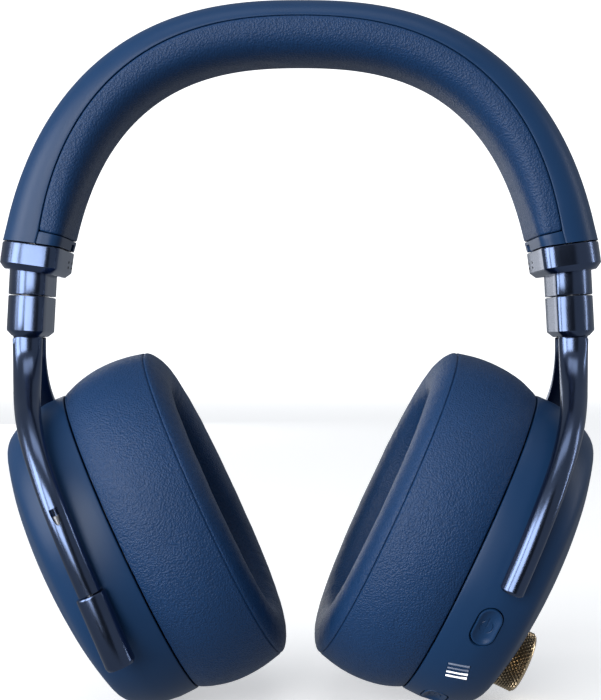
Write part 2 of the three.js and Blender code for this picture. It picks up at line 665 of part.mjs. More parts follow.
function cupPieces(side) {
  const group = place(new THREE.Group(), vec(CUP.x, 0, CUP.z), { tiltY: CUP.tilt });
  const holes = [pivotHole(1), pivotHole(-1)];
  if (side === 'right') {
    const { radius, face } = KNOB;
    holes.push(onKnobAxis(rod(radius + 0.4, 15, face + 4, 28)), socketHole(), ...lightBars(0.2));
    for (const spot of Object.values(BUTTON_SPOTS)) holes.push(buttonSolid(spot, GAP));
  }
  group.add(
    piece(`cup_housing_${side}`, cut(housing(), ...holes), BLUE_PLASTIC),
    piece(`baffle_${side}`, baffle(), BLACK_PLASTIC),
    piece(`driver_basket_${side}`, driverBasket(), BLACK_PLASTIC),
    piece(`driver_magnet_${side}`, driverMagnet(), STEEL),
    piece(`diaphragm_${side}`, diaphragm(), FOIL),
    piece(`pad_ring_${side}`, padRing(), BLACK_PLASTIC),
    piece(`speaker_cloth_${side}`, speakerCloth(), CLOTH),
    piece(`ear_pad_${side}`, earPad(side === 'right' ? 1 : -1), BLUE_LEATHER),
    piece(`circuit_board_${side}`, circuitBoard(), GREEN_BOARD),
    piece(`pivot_bush_${side}_front`, pivotBush(side === 'right' ? -1 : 1), BLACK_PLASTIC),
    piece(`pivot_bush_${side}_rear`, pivotBush(side === 'right' ? 1 : -1), BLACK_PLASTIC),
    piece(`pivot_pin_${side}_front`, pivotPin(side === 'right' ? -1 : 1), STEEL),
    piece(`pivot_pin_${side}_rear`, pivotPin(side === 'right' ? 1 : -1), STEEL),
  );
  if (side === 'left') {
    group.add(piece('battery', battery(), FOIL));
    return group;
  }
  for (const [name, spot] of Object.entries(BUTTON_SPOTS)) {
    group.add(piece(name, buttonSolid(spot, 0), BLUE_PLASTIC));
  }
  group.add(
    piece('volume_knob', volumeKnob(), GOLD),
    piece('knob_encoder', knobEncoder(), BLACK_PLASTIC),
    piece('light_guide', lightGuide(), CLEAR),
    piece('usb_socket', socketShell(), STEEL),
  );
  return group;
}

// ---------------------------------------------------------------- the two sides

// Group whose contents are given in the side's frame and turn about the swivel.
function swivelled(angle, ...contents) {
  const axis = place(new THREE.Group(), vec(SLEEVE.x, 0, SLEEVE.z), { tiltY: -SLEEVE.tilt });
  axis.updateMatrix();
  const turn = place(new THREE.Group(), vec(0, 0, 0), { turnZ: angle });
  const inner = new THREE.Group();
  inner.applyMatrix4(axis.matrix.clone().invert());
  inner.add(...contents);
  turn.add(inner);
  axis.add(turn);
  return axis;
}

// Everything on one side is made for the right and turned half round for the left.
function sidePieces(side) {
  const left = side === 'left';
  const group = place(new THREE.Group(), vec(0, 0, 0), { turnZ: left ? 180 : 0 });
  const onFork = [
    piece(`fork_${side}`, fork(left), GUNMETAL),
    piece(`swivel_pin_${side}`, inSwivel(swivelPin()), STEEL),
    cupPieces(side),
  ];
  if (left) onFork.push(piece('mic_capsule', boomCapsule(), GUNMETAL), piece('mic_rod', boomRod(), STEEL));
  group.add(
    piece(`end_cap_${side}`, endCap(), BLUE_PLASTIC),
    piece(`collar_${side}`, collar(), GUNMETAL),
    piece(`slider_guide_${side}`, sliderGuide(), BLACK_PLASTIC),
    piece(`slider_blade_${side}`, sliderBlade(), STEEL),
    piece(`upper_sleeve_${side}`, upperSleeve(), GUNMETAL),
    piece(`lower_sleeve_${side}`, lowerSleeve(), GUNMETAL),
    swivelled(left ? TOE_IN : -TOE_IN, ...onFork),
  );
  return group;
}

const headphones = new THREE.Group();
headphones.add(headband(), sidePieces('left'), sidePieces('right'));
const restPoint = bandPoint(0.5 + 0.5 / BAND.sections, 0, thickAt(0.5 + 0.5 / BAND.sections));
headphones.position.z = -restPoint.z;

export default headphones;
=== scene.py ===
"""Over ear headphones: fine meshes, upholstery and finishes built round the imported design.

Lengths in the dataclasses are millimetres, as in the design. Meshes are made in metres in the row frame:
+Z up, -Y the front, the origin under the crown of the headband.
"""

import json
import logging
import math
from collections.abc import Callable, Iterable, Sequence
from dataclasses import dataclass, field
from enum import Enum
from functools import partial

import bpy
import numpy as np
from mathutils import Matrix, Vector, noise


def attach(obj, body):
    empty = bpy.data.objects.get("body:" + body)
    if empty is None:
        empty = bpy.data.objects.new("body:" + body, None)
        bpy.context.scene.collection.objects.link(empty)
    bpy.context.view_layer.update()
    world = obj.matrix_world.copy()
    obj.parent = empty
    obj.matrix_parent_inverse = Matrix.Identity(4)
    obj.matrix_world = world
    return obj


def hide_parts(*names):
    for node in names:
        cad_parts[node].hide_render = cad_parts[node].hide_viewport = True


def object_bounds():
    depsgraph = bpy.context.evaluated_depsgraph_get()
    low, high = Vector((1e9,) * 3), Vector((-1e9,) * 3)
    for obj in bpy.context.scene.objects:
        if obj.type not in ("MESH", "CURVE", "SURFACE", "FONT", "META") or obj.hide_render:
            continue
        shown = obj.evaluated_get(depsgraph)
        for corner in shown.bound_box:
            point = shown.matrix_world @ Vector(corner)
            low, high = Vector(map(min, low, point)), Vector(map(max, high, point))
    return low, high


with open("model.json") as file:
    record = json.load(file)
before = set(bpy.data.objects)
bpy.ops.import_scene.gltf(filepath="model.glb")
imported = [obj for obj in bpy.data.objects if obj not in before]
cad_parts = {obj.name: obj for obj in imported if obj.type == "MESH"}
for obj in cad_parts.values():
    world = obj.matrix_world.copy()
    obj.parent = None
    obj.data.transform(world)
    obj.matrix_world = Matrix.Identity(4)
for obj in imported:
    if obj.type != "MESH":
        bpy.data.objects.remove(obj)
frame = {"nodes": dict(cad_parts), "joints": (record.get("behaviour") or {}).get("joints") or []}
CAD_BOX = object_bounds()

LOG = logging.getLogger("headphones")
MM = 0.001
MERGE = 1e-7

Colour = tuple[float, float, float]
Pair = tuple[float, float]
Ring = list[Vector]
Thing = bpy.types.Object


class Side(Enum):
    """Which ear a piece belongs to."""

    LEFT = "left"
    RIGHT = "right"

    @property
    def back(self) -> int:
        """Sign of the side frame's Y that points to the back of the head."""
        return 1 if self is Side.RIGHT else -1


class Ends(Enum):
    """How a skin over a run of rings is finished."""

    POLE = "closed to a point in the middle of each end ring"
    FLAT = "closed by one flat face at each end"
    JOINED = "the last ring meets the first"


# ---------------------------------------------------------------- mesh tools


def only(piece: Thing) -> None:
    """Select one piece alone and make it active.

    Args:
        piece: The object that the next operator acts on.
    """
    bpy.ops.object.select_all(action="DESELECT")
    piece.select_set(True)
    bpy.context.view_layer.objects.active = piece


def added(name: str, operator: Callable[..., object], **settings: object) -> Thing:
    """Add one primitive and name it.

    Args:
        name: The new piece's name.
        operator: The operator that adds it.
        **settings: The operator's own settings.

    Returns:
        The new piece.
    """
    bpy.ops.object.select_all(action="DESELECT")
    operator(**settings)
    piece = bpy.context.object
    piece.name = name
    return piece


def apply_place(piece: Thing) -> Thing:
    """Put a selected object's place, turn and scale into its mesh."""
    bpy.ops.object.transform_apply(location=True, rotation=True, scale=True)
    return piece


def edit_all(piece: Thing, *operators: Callable[[], object]) -> Thing:
    """Run mesh operators on the whole of a piece.

    Args:
        piece: The mesh to work on.
        *operators: Operators with their settings, in order.

    Returns:
        The same piece.
    """
    only(piece)
    bpy.ops.object.mode_set(mode="EDIT")
    bpy.ops.mesh.select_all(action="SELECT")
    for operator in operators:
        operator()
    bpy.ops.object.mode_set(mode="OBJECT")
    return piece


def clean(piece: Thing) -> Thing:
    """Merge doubled points and turn every face outwards."""
    merge = partial(bpy.ops.mesh.remove_doubles, threshold=MERGE)
    return edit_all(piece, merge, partial(bpy.ops.mesh.normals_make_consistent, inside=False))


def smooth(piece: Thing, angle: float = 32.0) -> Thing:
    """Shade a piece smooth, and sharp where two faces meet at more than an angle.

    Args:
        piece: The mesh to shade.
        angle: The sharp edges' limit in degrees.

    Returns:
        The same piece.
    """
    only(piece)
    bpy.ops.object.shade_smooth_by_angle(angle=math.radians(angle))
    return piece


def skin(name: str, rings: Sequence[Ring], ends: Ends = Ends.POLE) -> Thing:
    """Wrap a grid over a run of rings that all have the same number of points.

    Args:
        name: The new piece's name.
        rings: The rings, in millimetres.
        ends: How the run is closed.

    Returns:
        A closed mesh in metres.
    """
    rows = [list(ring) for ring in rings]
    count = len(rows[0])
    if ends is Ends.POLE:
        first, last = (sum(ring, Vector()) / count for ring in (rows[0], rows[-1]))
        rows = [[first] * count, *rows, [last] * count]
    elif ends is Ends.JOINED:
        rows.append(rows[0])
    add = bpy.ops.mesh.primitive_grid_add
    piece = added(name, add, x_subdivisions=count, y_subdivisions=len(rows) - 1, size=2)
    flat = np.zeros(len(piece.data.vertices) * 3, np.float32)
    piece.data.vertices.foreach_get("co", flat)
    grid = flat.reshape(-1, 3)
    columns = np.rint((grid[:, 0] + 1) / 2 * count).astype(int) % count
    lines = np.rint((grid[:, 1] + 1) / 2 * (len(rows) - 1)).astype(int)
    table = np.array(rows, np.float64) * MM
    piece.data.vertices.foreach_set("co", table[lines, columns].astype(np.float32).ravel())
    piece.data.update()
    if ends is Ends.FLAT:
        edit_all(clean(piece), partial(bpy.ops.mesh.fill_holes, sides=0))
    return clean(piece)


def move(piece: Thing, matrix: Matrix) -> Thing:
    """Turn and shift a piece's mesh, leaving its object at the origin.

    Args:
        piece: The piece to move.
        matrix: Where it goes, with its translation in millimetres.

    Returns:
        The same piece.
    """
    metres = matrix.copy()
    metres.translation = matrix.translation * MM
    piece.data.transform(metres)
    piece.data.update()
    return piece


def finish_modifier(piece: Thing, kind: str, **settings: object) -> Thing:
    """Add one modifier and apply it.

    Args:
        piece: The piece it works on.
        kind: The modifier's type.
        **settings: Its properties.

    Returns:
        The same piece.
    """
    modifier = piece.modifiers.new(kind.title(), kind)
    for key, value in settings.items():
        setattr(modifier, key, value)
    only(piece)
    bpy.ops.object.modifier_apply(modifier=modifier.name)
    return piece


def carve(piece: Thing, tools: Iterable[Thing], operation: str = "DIFFERENCE") -> Thing:
    """Cut tools away from a piece, or join them to it, and throw the tools away.

    Args:
        piece: The piece to work on.
        tools: Closed meshes.
        operation: A boolean modifier's operation.

    Returns:
        The same piece.
    """
    for tool in tools:
        finish_modifier(piece, "BOOLEAN", operation=operation, solver="EXACT", object=tool)
        bpy.data.objects.remove(tool, do_unlink=True)
    return piece


def block(name: str, low: Sequence[float], high: Sequence[float], bevel: float = 0.0) -> Thing:
    """Make a box between two corners with rounded edges.

    Args:
        name: The new piece's name.
        low: Its lowest corner in millimetres.
        high: Its highest corner in millimetres.
        bevel: Radius of its edges in millimetres, or 0 for sharp ones.

    Returns:
        The box.
    """
    middle = [(a + b) / 2 * MM for a, b in zip(low, high)]
    spans = [(b - a) * MM for a, b in zip(low, high)]
    piece = apply_place(added(name, bpy.ops.mesh.primitive_cube_add, size=1, location=middle, scale=spans))
    if bevel:
        edit_all(piece, partial(bpy.ops.mesh.bevel, offset=bevel * MM, segments=3, affect="EDGES"))
    return piece


def circle(radius: float, z: float, steps: int) -> Ring:
    """Return a round ring about local Z."""
    angles = [math.tau * i / steps for i in range(steps)]
    return [Vector((radius * math.cos(a), radius * math.sin(a), z)) for a in angles]


def turned(name: str, profile: Sequence[Pair], steps: int, ends: Ends = Ends.POLE) -> Thing:
    """Make a solid of revolution about local Z.

    Args:
        name: The new piece's name.
        profile: Points [radius, height] from one end of the axis to the other, in millimetres.
        steps: Number of sides.
        ends: How the profile is closed.

    Returns:
        The turned piece.
    """
    return skin(name, [circle(r, z, steps) for r, z in profile], ends)


def torus(name: str, radius: float, thickness: float, matrix: Matrix) -> Thing:
    """Make a thin round ring, used to engrave a circle.

    Args:
        name: The new piece's name.
        radius: Radius of its middle line in millimetres.
        thickness: Radius of its own section in millimetres.
        matrix: Where it goes.

    Returns:
        The ring.
    """
    piece = added(name, bpy.ops.mesh.primitive_torus_add, major_radius=radius * MM,
                  minor_radius=thickness * MM, major_segments=40, minor_segments=10)
    return move(piece, matrix)


# ---------------------------------------------------------------- curves and outlines


def mix(a: float, b: float, share: float) -> float:
    """Return the value a share of the way from a to b."""
    return a + (b - a) * share


def spline(stops: Sequence[Sequence[float]], count: int) -> list[Vector]:
    """Lay evenly spaced points on a smooth curve through some stops.

    Args:
        stops: The points that the curve passes through, of any dimension.
        count: How many points to return.

    Returns:
        The points, ends included.
    """
    knots = [Vector(s) for s in stops]
    knots = [knots[0] * 2 - knots[1], *knots, knots[-1] * 2 - knots[-2]]
    fine: list[Vector] = []
    for a, b, c, d in zip(knots, knots[1:], knots[2:], knots[3:]):
        steps = [max(math.sqrt((q - p).length), 1e-4) for p, q in ((a, b), (b, c), (c, d))]
        before, here, after = steps
        start = ((b - a) / before - (c - a) / (before + here) + (c - b) / here) * here
        stop = ((c - b) / here - (d - b) / (here + after) + (d - c) / after) * here
        for i in range(24):
            t = i / 24
            fine.append(b + start * t + (3 * (c - b) - 2 * start - stop) * t * t
                        + (2 * (b - c) + start + stop) * t ** 3)
    fine.append(knots[-2])
    return spaced(fine, count)


def spaced(line: Sequence[Vector], count: int) -> list[Vector]:
    """Lay evenly spaced points along a polyline.

    Args:
        line: The polyline's corners.
        count: How many points to return.

    Returns:
        The points, ends included.
    """
    table = np.array([tuple(p) for p in line])
    run = np.concatenate([[0], np.cumsum(np.linalg.norm(np.diff(table, axis=0), axis=1))])
    stations = np.linspace(0, run[-1], count)
    columns = [np.interp(stations, run, table[:, k]) for k in range(table.shape[1])]
    return [Vector(row) for row in np.stack(columns, axis=1)]


def mirrored(half: Sequence[Pair]) -> list[Pair]:
    """Close an outline by repeating it on the other side of its first coordinate's zero."""
    return [*half, *[(-y, d) for y, d in reversed(half) if y != 0]]


def corner(centre: Pair, radii: Pair, start: float, stop: float, steps: int = 4) -> list[Pair]:
    """Return points on a quarter or part of an ellipse.

    Args:
        centre: Its centre.
        radii: Its two radii.
        start: First angle in degrees.
        stop: Last angle in degrees.
        steps: Number of stretches.

    Returns:
        The points in order.
    """
    angles = [math.radians(mix(start, stop, i / steps)) for i in range(steps + 1)]
    return [(centre[0] + radii[0] * math.cos(a), centre[1] + radii[1] * math.sin(a)) for a in angles]


def stadium(radius: float, straight: float, steps: int) -> list[Pair]:
    """Return a long oval: two half circles whose centres lie on Y.

    Args:
        radius: Radius of the round ends.
        straight: Distance from the middle to each round end's centre.
        steps: Number of stretches on each round end.

    Returns:
        Points (x, y).
    """
    points = []
    for end in (1, -1):
        for i in range(steps + 1):
            angle = math.pi * i / steps - (math.pi if end < 0 else 0.0)
            points.append((radius * math.cos(angle), end * straight + radius * math.sin(angle)))
    return points


def dome(half_width: float, rise: float, limit: float, steps: int, squareness: float = 2.4) -> list[Pair]:
    """Return one half of a softly squared arch, crest first.

    Args:
        half_width: Its half width at full depth.
        rise: Depth at which it reaches its full width.
        limit: Depth at which it stops.
        steps: Number of stretches.
        squareness: Power of the arch, 2 for an ellipse.

    Returns:
        Points (across, depth).
    """
    power = 2 / squareness
    end = math.acos(max(0.0, 1 - limit / rise) ** (1 / power))
    points = [(0.0, 0.0)]
    for i in range(1, steps + 1):
        angle = end * i / steps
        depth = rise * (1 - max(0.0, math.cos(angle)) ** power)
        points.append((half_width * math.sin(angle) ** power, depth))
    return points


# ---------------------------------------------------------------- shader tools


class Field:
    """A shader value that is added, multiplied and mixed as a Python expression."""

    def __init__(self, shader: "Shader", socket: bpy.types.NodeSocket) -> None:
        """Wrap one output socket of a shader's node tree."""
        self.shader = shader
        self.socket = socket

    def _math(self, operation: str, first: object, second: object) -> "Field":
        """Add a Math node and return its result."""
        return self.shader.node("ShaderNodeMath", {"operation": operation}, {0: first, 1: second})

    def __add__(self, other: object) -> "Field":
        """Return the sum."""
        return self._math("ADD", self, other)

    def __rsub__(self, other: object) -> "Field":
        """Return what is left of another value when this one is taken from it."""
        return self._math("SUBTRACT", other, self)

    def __mul__(self, other: object) -> "Field":
        """Return the product."""
        return self._math("MULTIPLY", self, other)

    def __pow__(self, other: object) -> "Field":
        """Return the power."""
        return self._math("POWER", self, other)

    def over(self, limit: float, soft: float) -> "Field":
        """Return 0 under a limit and 1 above it, with a soft step between."""
        settings = {"interpolation_type": "SMOOTHSTEP"}
        inputs = {"Value": self, "From Min": limit - soft, "From Max": limit + soft}
        return self.shader.node("ShaderNodeMapRange", settings, inputs)

    def ramp(self, low: float, high: float) -> "Field":
        """Return the value stretched from 0..1 to low..high."""
        return self.shader.node("ShaderNodeMapRange", {}, {"Value": self, "To Min": low, "To Max": high})


class Shader:
    """One material's node tree round a Principled shader."""

    def __init__(self, name: str) -> None:
        """Start an empty material.

        Args:
            name: The material's name.
        """
        self.material = bpy.data.materials.new(name)
        self.material.use_nodes = True
        self.tree = self.material.node_tree
        self.surface = next(n for n in self.tree.nodes if n.type == "BSDF_PRINCIPLED")

    def _feed(self, socket: bpy.types.NodeSocket, value: object) -> None:
        """Link a field to a socket, or set a constant on it."""
        if isinstance(value, Field):
            self.tree.links.new(value.socket, socket)
        elif isinstance(value, tuple) and len(value) == 3 and socket.type == "RGBA":
            socket.default_value = (*value, 1.0)
        else:
            socket.default_value = value

    def node(self, kind: str, settings: dict, inputs: dict, output: int | str = 0) -> Field:
        """Add any node.

        Args:
            kind: The node's type.
            settings: Properties, set first.
            inputs: Values or fields by socket name or number.
            output: Which output to return.

        Returns:
            The chosen output.
        """
        made = self.tree.nodes.new(kind)
        for key, value in settings.items():
            setattr(made, key, value)
        for key, value in inputs.items():
            self._feed(made.inputs[key], value)
        return Field(self, made.outputs[output])

    def place(self, scale: tuple[float, float, float] = (1, 1, 1)) -> Field:
        """Return the piece's own coordinates, stretched along each axis."""
        raw = self.node("ShaderNodeTexCoord", {}, {}, "Object")
        inputs = {"Vector": raw, "Scale": scale}
        return self.node("ShaderNodeMapping", {}, inputs)

    def grain(self, size: float, detail: float = 3.0, where: Field | None = None) -> Field:
        """Return a noise whose blotches are about a size in millimetres."""
        inputs = {"Vector": where or self.place(), "Scale": 1 / (size * MM), "Detail": detail}
        return self.node("ShaderNodeTexNoise", {}, inputs, "Fac")

    def cells(self, size: float) -> Field:
        """Return the distance to the nearest of scattered points about a size apart in millimetres."""
        settings = {"feature": "SMOOTH_F1"}
        inputs = {"Vector": self.place(), "Scale": 1 / (size * MM), "Smoothness": 0.35}
        return self.node("ShaderNodeTexVoronoi", settings, inputs, "Distance")

    def blend(self, share: Field, low: object, high: object) -> Field:
        """Return a colour between two colours."""
        inputs = {0: share, 6: low, 7: high}
        return self.node("ShaderNodeMix", {"data_type": "RGBA"}, inputs, 2)

    def relief(self, height: Field, depth: float) -> Field:
        """Return a bumped normal whose relief is a depth in millimetres."""
        inputs = {"Height": height, "Distance": depth * MM, "Strength": 1.0}
        return self.node("ShaderNodeBump", {}, inputs, "Normal")

    def coat(self, **inputs: object) -> bpy.types.Material:
        """Feed the Principled shader's sockets, with underscores for blanks.

        Args:
            **inputs: Values or fields by socket name.

        Returns:
            The finished material.
        """
        for key, value in inputs.items():
            self._feed(self.surface.inputs[key.replace("_", " ")], value)
        return self.material


# ---------------------------------------------------------------- finishes


@dataclass(frozen=True)
class Finish:
    """A surface finish; each kind paints its own material once."""

    name: str
    colour: Colour
    roughness: float = 0.5

    def paint(self, shader: Shader) -> bpy.types.Material:
        """Build the material; each kind of finish has its own way."""
        raise NotImplementedError

    def material(self) -> bpy.types.Material:
        """Return the material, painting it the first time it is asked for."""
        return bpy.data.materials.get(self.name) or self.paint(Shader(self.name))

    def shade(self, factor: float) -> Colour:
        """Return the colour made lighter or darker."""
        return tuple(min(1.0, c * factor) for c in self.colour)


@dataclass(frozen=True)
class SoftTouch(Finish):
    """Moulded plastic with a velvety lacquer."""

    grain_size: float = 0.16
    relief: float = 0.006

    def paint(self, shader: Shader) -> bpy.types.Material:
        """Cloud the colour slightly and add a very fine tooth."""
        cloud = shader.grain(14.0)
        tooth = shader.grain(self.grain_size, 2.0)
        return shader.coat(
            Base_Color=shader.blend(cloud, self.shade(0.92), self.shade(1.08)),
            Roughness=cloud.ramp(self.roughness - 0.05, self.roughness + 0.05),
            Specular_IOR_Level=0.3,
            Normal=shader.relief(tooth, self.relief))


@dataclass(frozen=True)
class Leather(Finish):
    """Fine pebbled leather with painted shade darkening the creases between the pebbles."""

    pebble: float = 0.5
    relief: float = 0.24

    def paint(self, shader: Shader) -> bpy.types.Material:
        """Set pebbles of two sizes, painted shade in the pores between them and a few soft creases."""
        wander = shader.grain(2.4, 2.0)
        pebbles = shader.cells(self.pebble)
        small = shader.cells(self.pebble * 0.45)
        height = 1 - (pebbles * 0.75 + small * 0.3 + wander * 0.35)
        crease_shade_mask = pebbles.over(0.52, 0.2)
        tone = shader.blend(shader.grain(22.0), self.shade(0.9), self.shade(1.12))
        return shader.coat(
            # painted shade: the colour darkens in the creases between the pebbles
            Base_Color=shader.blend(crease_shade_mask, tone, self.shade(0.86)),
            Roughness=(crease_shade_mask * 0.08 + wander * 0.1) + (self.roughness - 0.05),
            Specular_IOR_Level=0.32,
            Normal=shader.relief(height, self.relief))


@dataclass(frozen=True)
class TintedMetal(Finish):
    """Polished metal under a thin tint, with fine drawing lines along its height."""

    line: float = 0.12
    relief: float = 0.0012
    wear: float = 0.35

    def paint(self, shader: Shader) -> bpy.types.Material:
        """Draw fine lines down the piece and cloud its tint."""
        drawn = shader.grain(self.line, 2.0, shader.place((1, 1, 0.02)))
        cloud = shader.grain(9.0, 4.0)
        fine = shader.grain(0.9, 3.0)
        return shader.coat(
            Base_Color=shader.blend(cloud, self.shade(0.86), self.shade(1.14)),
            Metallic=1.0,
            Roughness=(drawn * 0.05 + fine * 0.07 * self.wear) + (self.roughness - 0.04),
            Normal=shader.relief(drawn, self.relief))


@dataclass(frozen=True)
class KnurledBrass(Finish):
    """Brass with painted shade darkening its knurled grooves; the mesh carries the groove as an attribute."""

    painted_groove_shade: float = 0.04

    def paint(self, shader: Shader) -> bpy.types.Material:
        """Paint shade into the grooves, dull them and let the crests shine."""
        groove = shader.node("ShaderNodeAttribute", {"attribute_name": "groove"}, {}, "Fac")
        cloud = shader.grain(0.8, 3.0)
        return shader.coat(
            # painted shade: the colour darkens with the groove's depth
            Base_Color=shader.blend(groove ** 0.9, shader.blend(cloud, self.shade(0.9), self.shade(1.1)),
                                    self.shade(self.painted_groove_shade)),
            Metallic=1.0,
            Roughness=groove * 0.25 + cloud * 0.08 + (self.roughness - 0.04),
            Normal=shader.relief(cloud, 0.004))


@dataclass(frozen=True)
class Woven(Finish):
    """Thin acoustic cloth in a plain weave."""

    thread: float = 0.42
    relief: float = 0.07

    def paint(self, shader: Shader) -> bpy.types.Material:
        """Cross two sets of threads."""
        inputs = {"Vector": shader.place(), "Scale": 1 / (self.thread * MM) / math.tau}
        threads = []
        for direction in ("Y", "Z"):
            settings = {"wave_type": "BANDS", "bands_direction": direction, "wave_profile": "SIN"}
            threads.append(shader.node("ShaderNodeTexWave", settings, inputs, "Fac"))
        weave = threads[0] * threads[1]
        fuzz = shader.grain(0.12)
        return shader.coat(
            Base_Color=shader.blend(weave, self.shade(0.35), self.shade(1.5)),
            Roughness=fuzz.ramp(self.roughness - 0.06, self.roughness),
            Specular_IOR_Level=0.2,
            Normal=shader.relief(weave + fuzz * 0.3, self.relief))


@dataclass(frozen=True)
class Moulded(Finish):
    """Plain moulded plastic, rubber, film or lacquer with a fine spark texture."""

    texture: float = 0.3
    relief: float = 0.01
    metal: float = 0.0

    def paint(self, shader: Shader) -> bpy.types.Material:
        """Add the mould's texture and a little cloud."""
        spark = shader.grain(self.texture, 2.0)
        cloud = shader.grain(6.0)
        return shader.coat(
            Base_Color=shader.blend(cloud, self.shade(0.85), self.shade(1.15)),
            Metallic=self.metal,
            Roughness=spark.ramp(self.roughness - 0.06, self.roughness + 0.06),
            Normal=shader.relief(spark, self.relief))


@dataclass(frozen=True)
class CircuitCoat(Finish):
    """Solder resist with lighter copper tracks under it."""

    track: float = 1.7

    def paint(self, shader: Shader) -> bpy.types.Material:
        """Run stepped tracks under the green coat."""
        settings = {"feature": "F1", "distance": "CHEBYCHEV"}
        inputs = {"Vector": shader.place(), "Scale": 1 / (self.track * MM)}
        cells = shader.node("ShaderNodeTexVoronoi", settings, inputs, "Distance")
        tracks = cells.over(0.42, 0.03)
        return shader.coat(
            Base_Color=shader.blend(tracks, self.colour, self.shade(1.9)),
            Roughness=tracks.ramp(self.roughness, self.roughness + 0.12),
            Normal=shader.relief(tracks, 0.03))


@dataclass(frozen=True)
class Glow(Finish):
    """A milky light bar, lit or unlit; an unlit bar still carries a faint painted glow."""

    light: float = 0.0

    def paint(self, shader: Shader) -> bpy.types.Material:
        """Make the bar slightly uneven and give it its own light."""
        cloud = shader.grain(0.7)
        return shader.coat(
            Base_Color=shader.blend(cloud, self.shade(0.94), self.colour),
            Roughness=cloud.ramp(self.roughness - 0.05, self.roughness + 0.05),
            Emission_Color=shader.blend(cloud, self.shade(0.96), self.colour),
            Emission_Strength=self.light,
            Normal=shader.relief(cloud, 0.004))


NAVY_PLASTIC = SoftTouch("navy_soft_touch", (0.0062, 0.034, 0.1), 0.42)
NAVY_LEATHER = Leather("navy_leather", (0.0065, 0.038, 0.118), 0.42)
BAND_LEATHER = Leather("navy_band_leather", (0.006, 0.036, 0.112), 0.44, pebble=0.56, relief=0.19)
GUNMETAL = TintedMetal("blue_gunmetal", (0.085, 0.115, 0.195), 0.24)
SPRING_STEEL = TintedMetal("spring_steel", (0.5, 0.5, 0.51), 0.26, line=0.2, wear=0.8)
NICKEL = TintedMetal("nickel_plate", (0.66, 0.63, 0.58), 0.2, wear=0.5)
BRASS = KnurledBrass("knurled_brass", (0.86, 0.66, 0.42), 0.2)
SCREEN_CLOTH = Woven("screen_cloth", (0.006, 0.012, 0.024), 0.92)
LINING_CLOTH = Woven("lining_cloth", (0.006, 0.015, 0.034), 0.95, thread=0.55)
BLACK_PLASTIC = Moulded("black_plastic", (0.012, 0.0125, 0.014), 0.5)
# near-black painted shade standing in for the shade of small recesses, used on the collar's dots
PAINTED_HOLE_SHADE = Moulded("painted_hole_shade", (0.004, 0.0045, 0.006), 0.7)
LEAD_RUBBER = Moulded("lead_rubber", (0.01, 0.0102, 0.011), 0.58, texture=0.6)
FILM = Moulded("diaphragm_film", (0.3, 0.27, 0.2), 0.3, texture=2.0, relief=0.02)
POUCH_FOIL = Moulded("pouch_foil", (0.5, 0.52, 0.55), 0.35, texture=3.0, relief=0.08, metal=0.8)
BOARD = CircuitCoat("board_coat", (0.008, 0.07, 0.03), 0.38)
MILKY = Moulded("milky_light_guide", (0.62, 0.64, 0.68), 0.35)
LIT_BAR = Glow("lit_bar", (0.95, 0.97, 1.0), 0.3, light=0.9)
# The unlit bars still glow faintly: a painted glow, though they are no lamps.
DIM_BAR = Glow("dim_bar", (0.22, 0.26, 0.36), 0.35, light=0.03)


def fit(piece: Thing, body: str, slot: str, finish: Finish, *nodes: str) -> Thing:
    """Dress a piece, hang it on its body and let it stand for design nodes.

    Args:
        piece: The finished mesh.
        body: The body it moves with.
        slot: The record's material slot; not used.
        finish: Its surface finish.
        *nodes: The nodes it stands for.

    Returns:
        The same piece.
    """
    piece.data.materials.clear()
    piece.data.materials.append(finish.material())
    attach(piece, body)
    if nodes:
        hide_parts(*nodes)
    LOG.info("%s rides on %s", piece.name, body)
    return piece


# ---------------------------------------------------------------- where things are


def axis_turn(x: float, z: float, tilt: float) -> Matrix:
    """Return the frame at (x, 0, z) whose own Z leans by a tilt in degrees towards -X."""
    return Matrix.Translation((x, 0, z)) @ Matrix.Rotation(math.radians(tilt), 4, "Y")


@dataclass(frozen=True)
class Layout:
    """Driving dimensions shared by the sub-assemblies, and the frames they are built in."""

    sleeve_x: float = 77.3
    sleeve_z: float = -67.2
    sleeve_tilt: float = 3.0
    slider_tilt: float = 8.5
    toe_in: float = 4.5
    cup_x: float = 47.9
    cup_z: float = -137.0
    cup_tilt: float = 25.0

    @property
    def lift(self) -> float:
        """Height in millimetres that the design was raised to put its origin under the crown."""
        swivel = next(j for j in frame["joints"] if j["name"] == "swivel_right")
        return swivel["pos_m"][2] / MM - self.sleeve_z

    def side(self, side: Side) -> Matrix:
        """Return the frame of one side; the left one is the right one turned half round."""
        turn = math.pi if side is Side.LEFT else 0.0
        return Matrix.Translation((0, 0, self.lift)) @ Matrix.Rotation(turn, 4, "Z")

    def swivel(self) -> Matrix:
        """Return the swivel's frame inside a side's frame, its Z up the sleeves."""
        return axis_turn(self.sleeve_x, self.sleeve_z, -self.sleeve_tilt)

    def slider(self) -> Matrix:
        """Return the slider's frame inside a side's frame, its Z up the blade."""
        return axis_turn(self.sleeve_x, self.sleeve_z, -self.slider_tilt)

    def yoke(self, side: Side) -> Matrix:
        """Return the frame of one fork, turned about the swivel by the toe-in."""
        turn = Matrix.Rotation(math.radians(-self.toe_in * side.back), 4, "Z")
        swivel = self.swivel()
        return self.side(side) @ swivel @ turn @ swivel.inverted()

    def cup(self, side: Side) -> Matrix:
        """Return the frame of one ear cup: X out from the head, Z up along the cup."""
        return self.yoke(side) @ axis_turn(self.cup_x, self.cup_z, self.cup_tilt)


LAYOUT = Layout()


# ---------------------------------------------------------------- headband


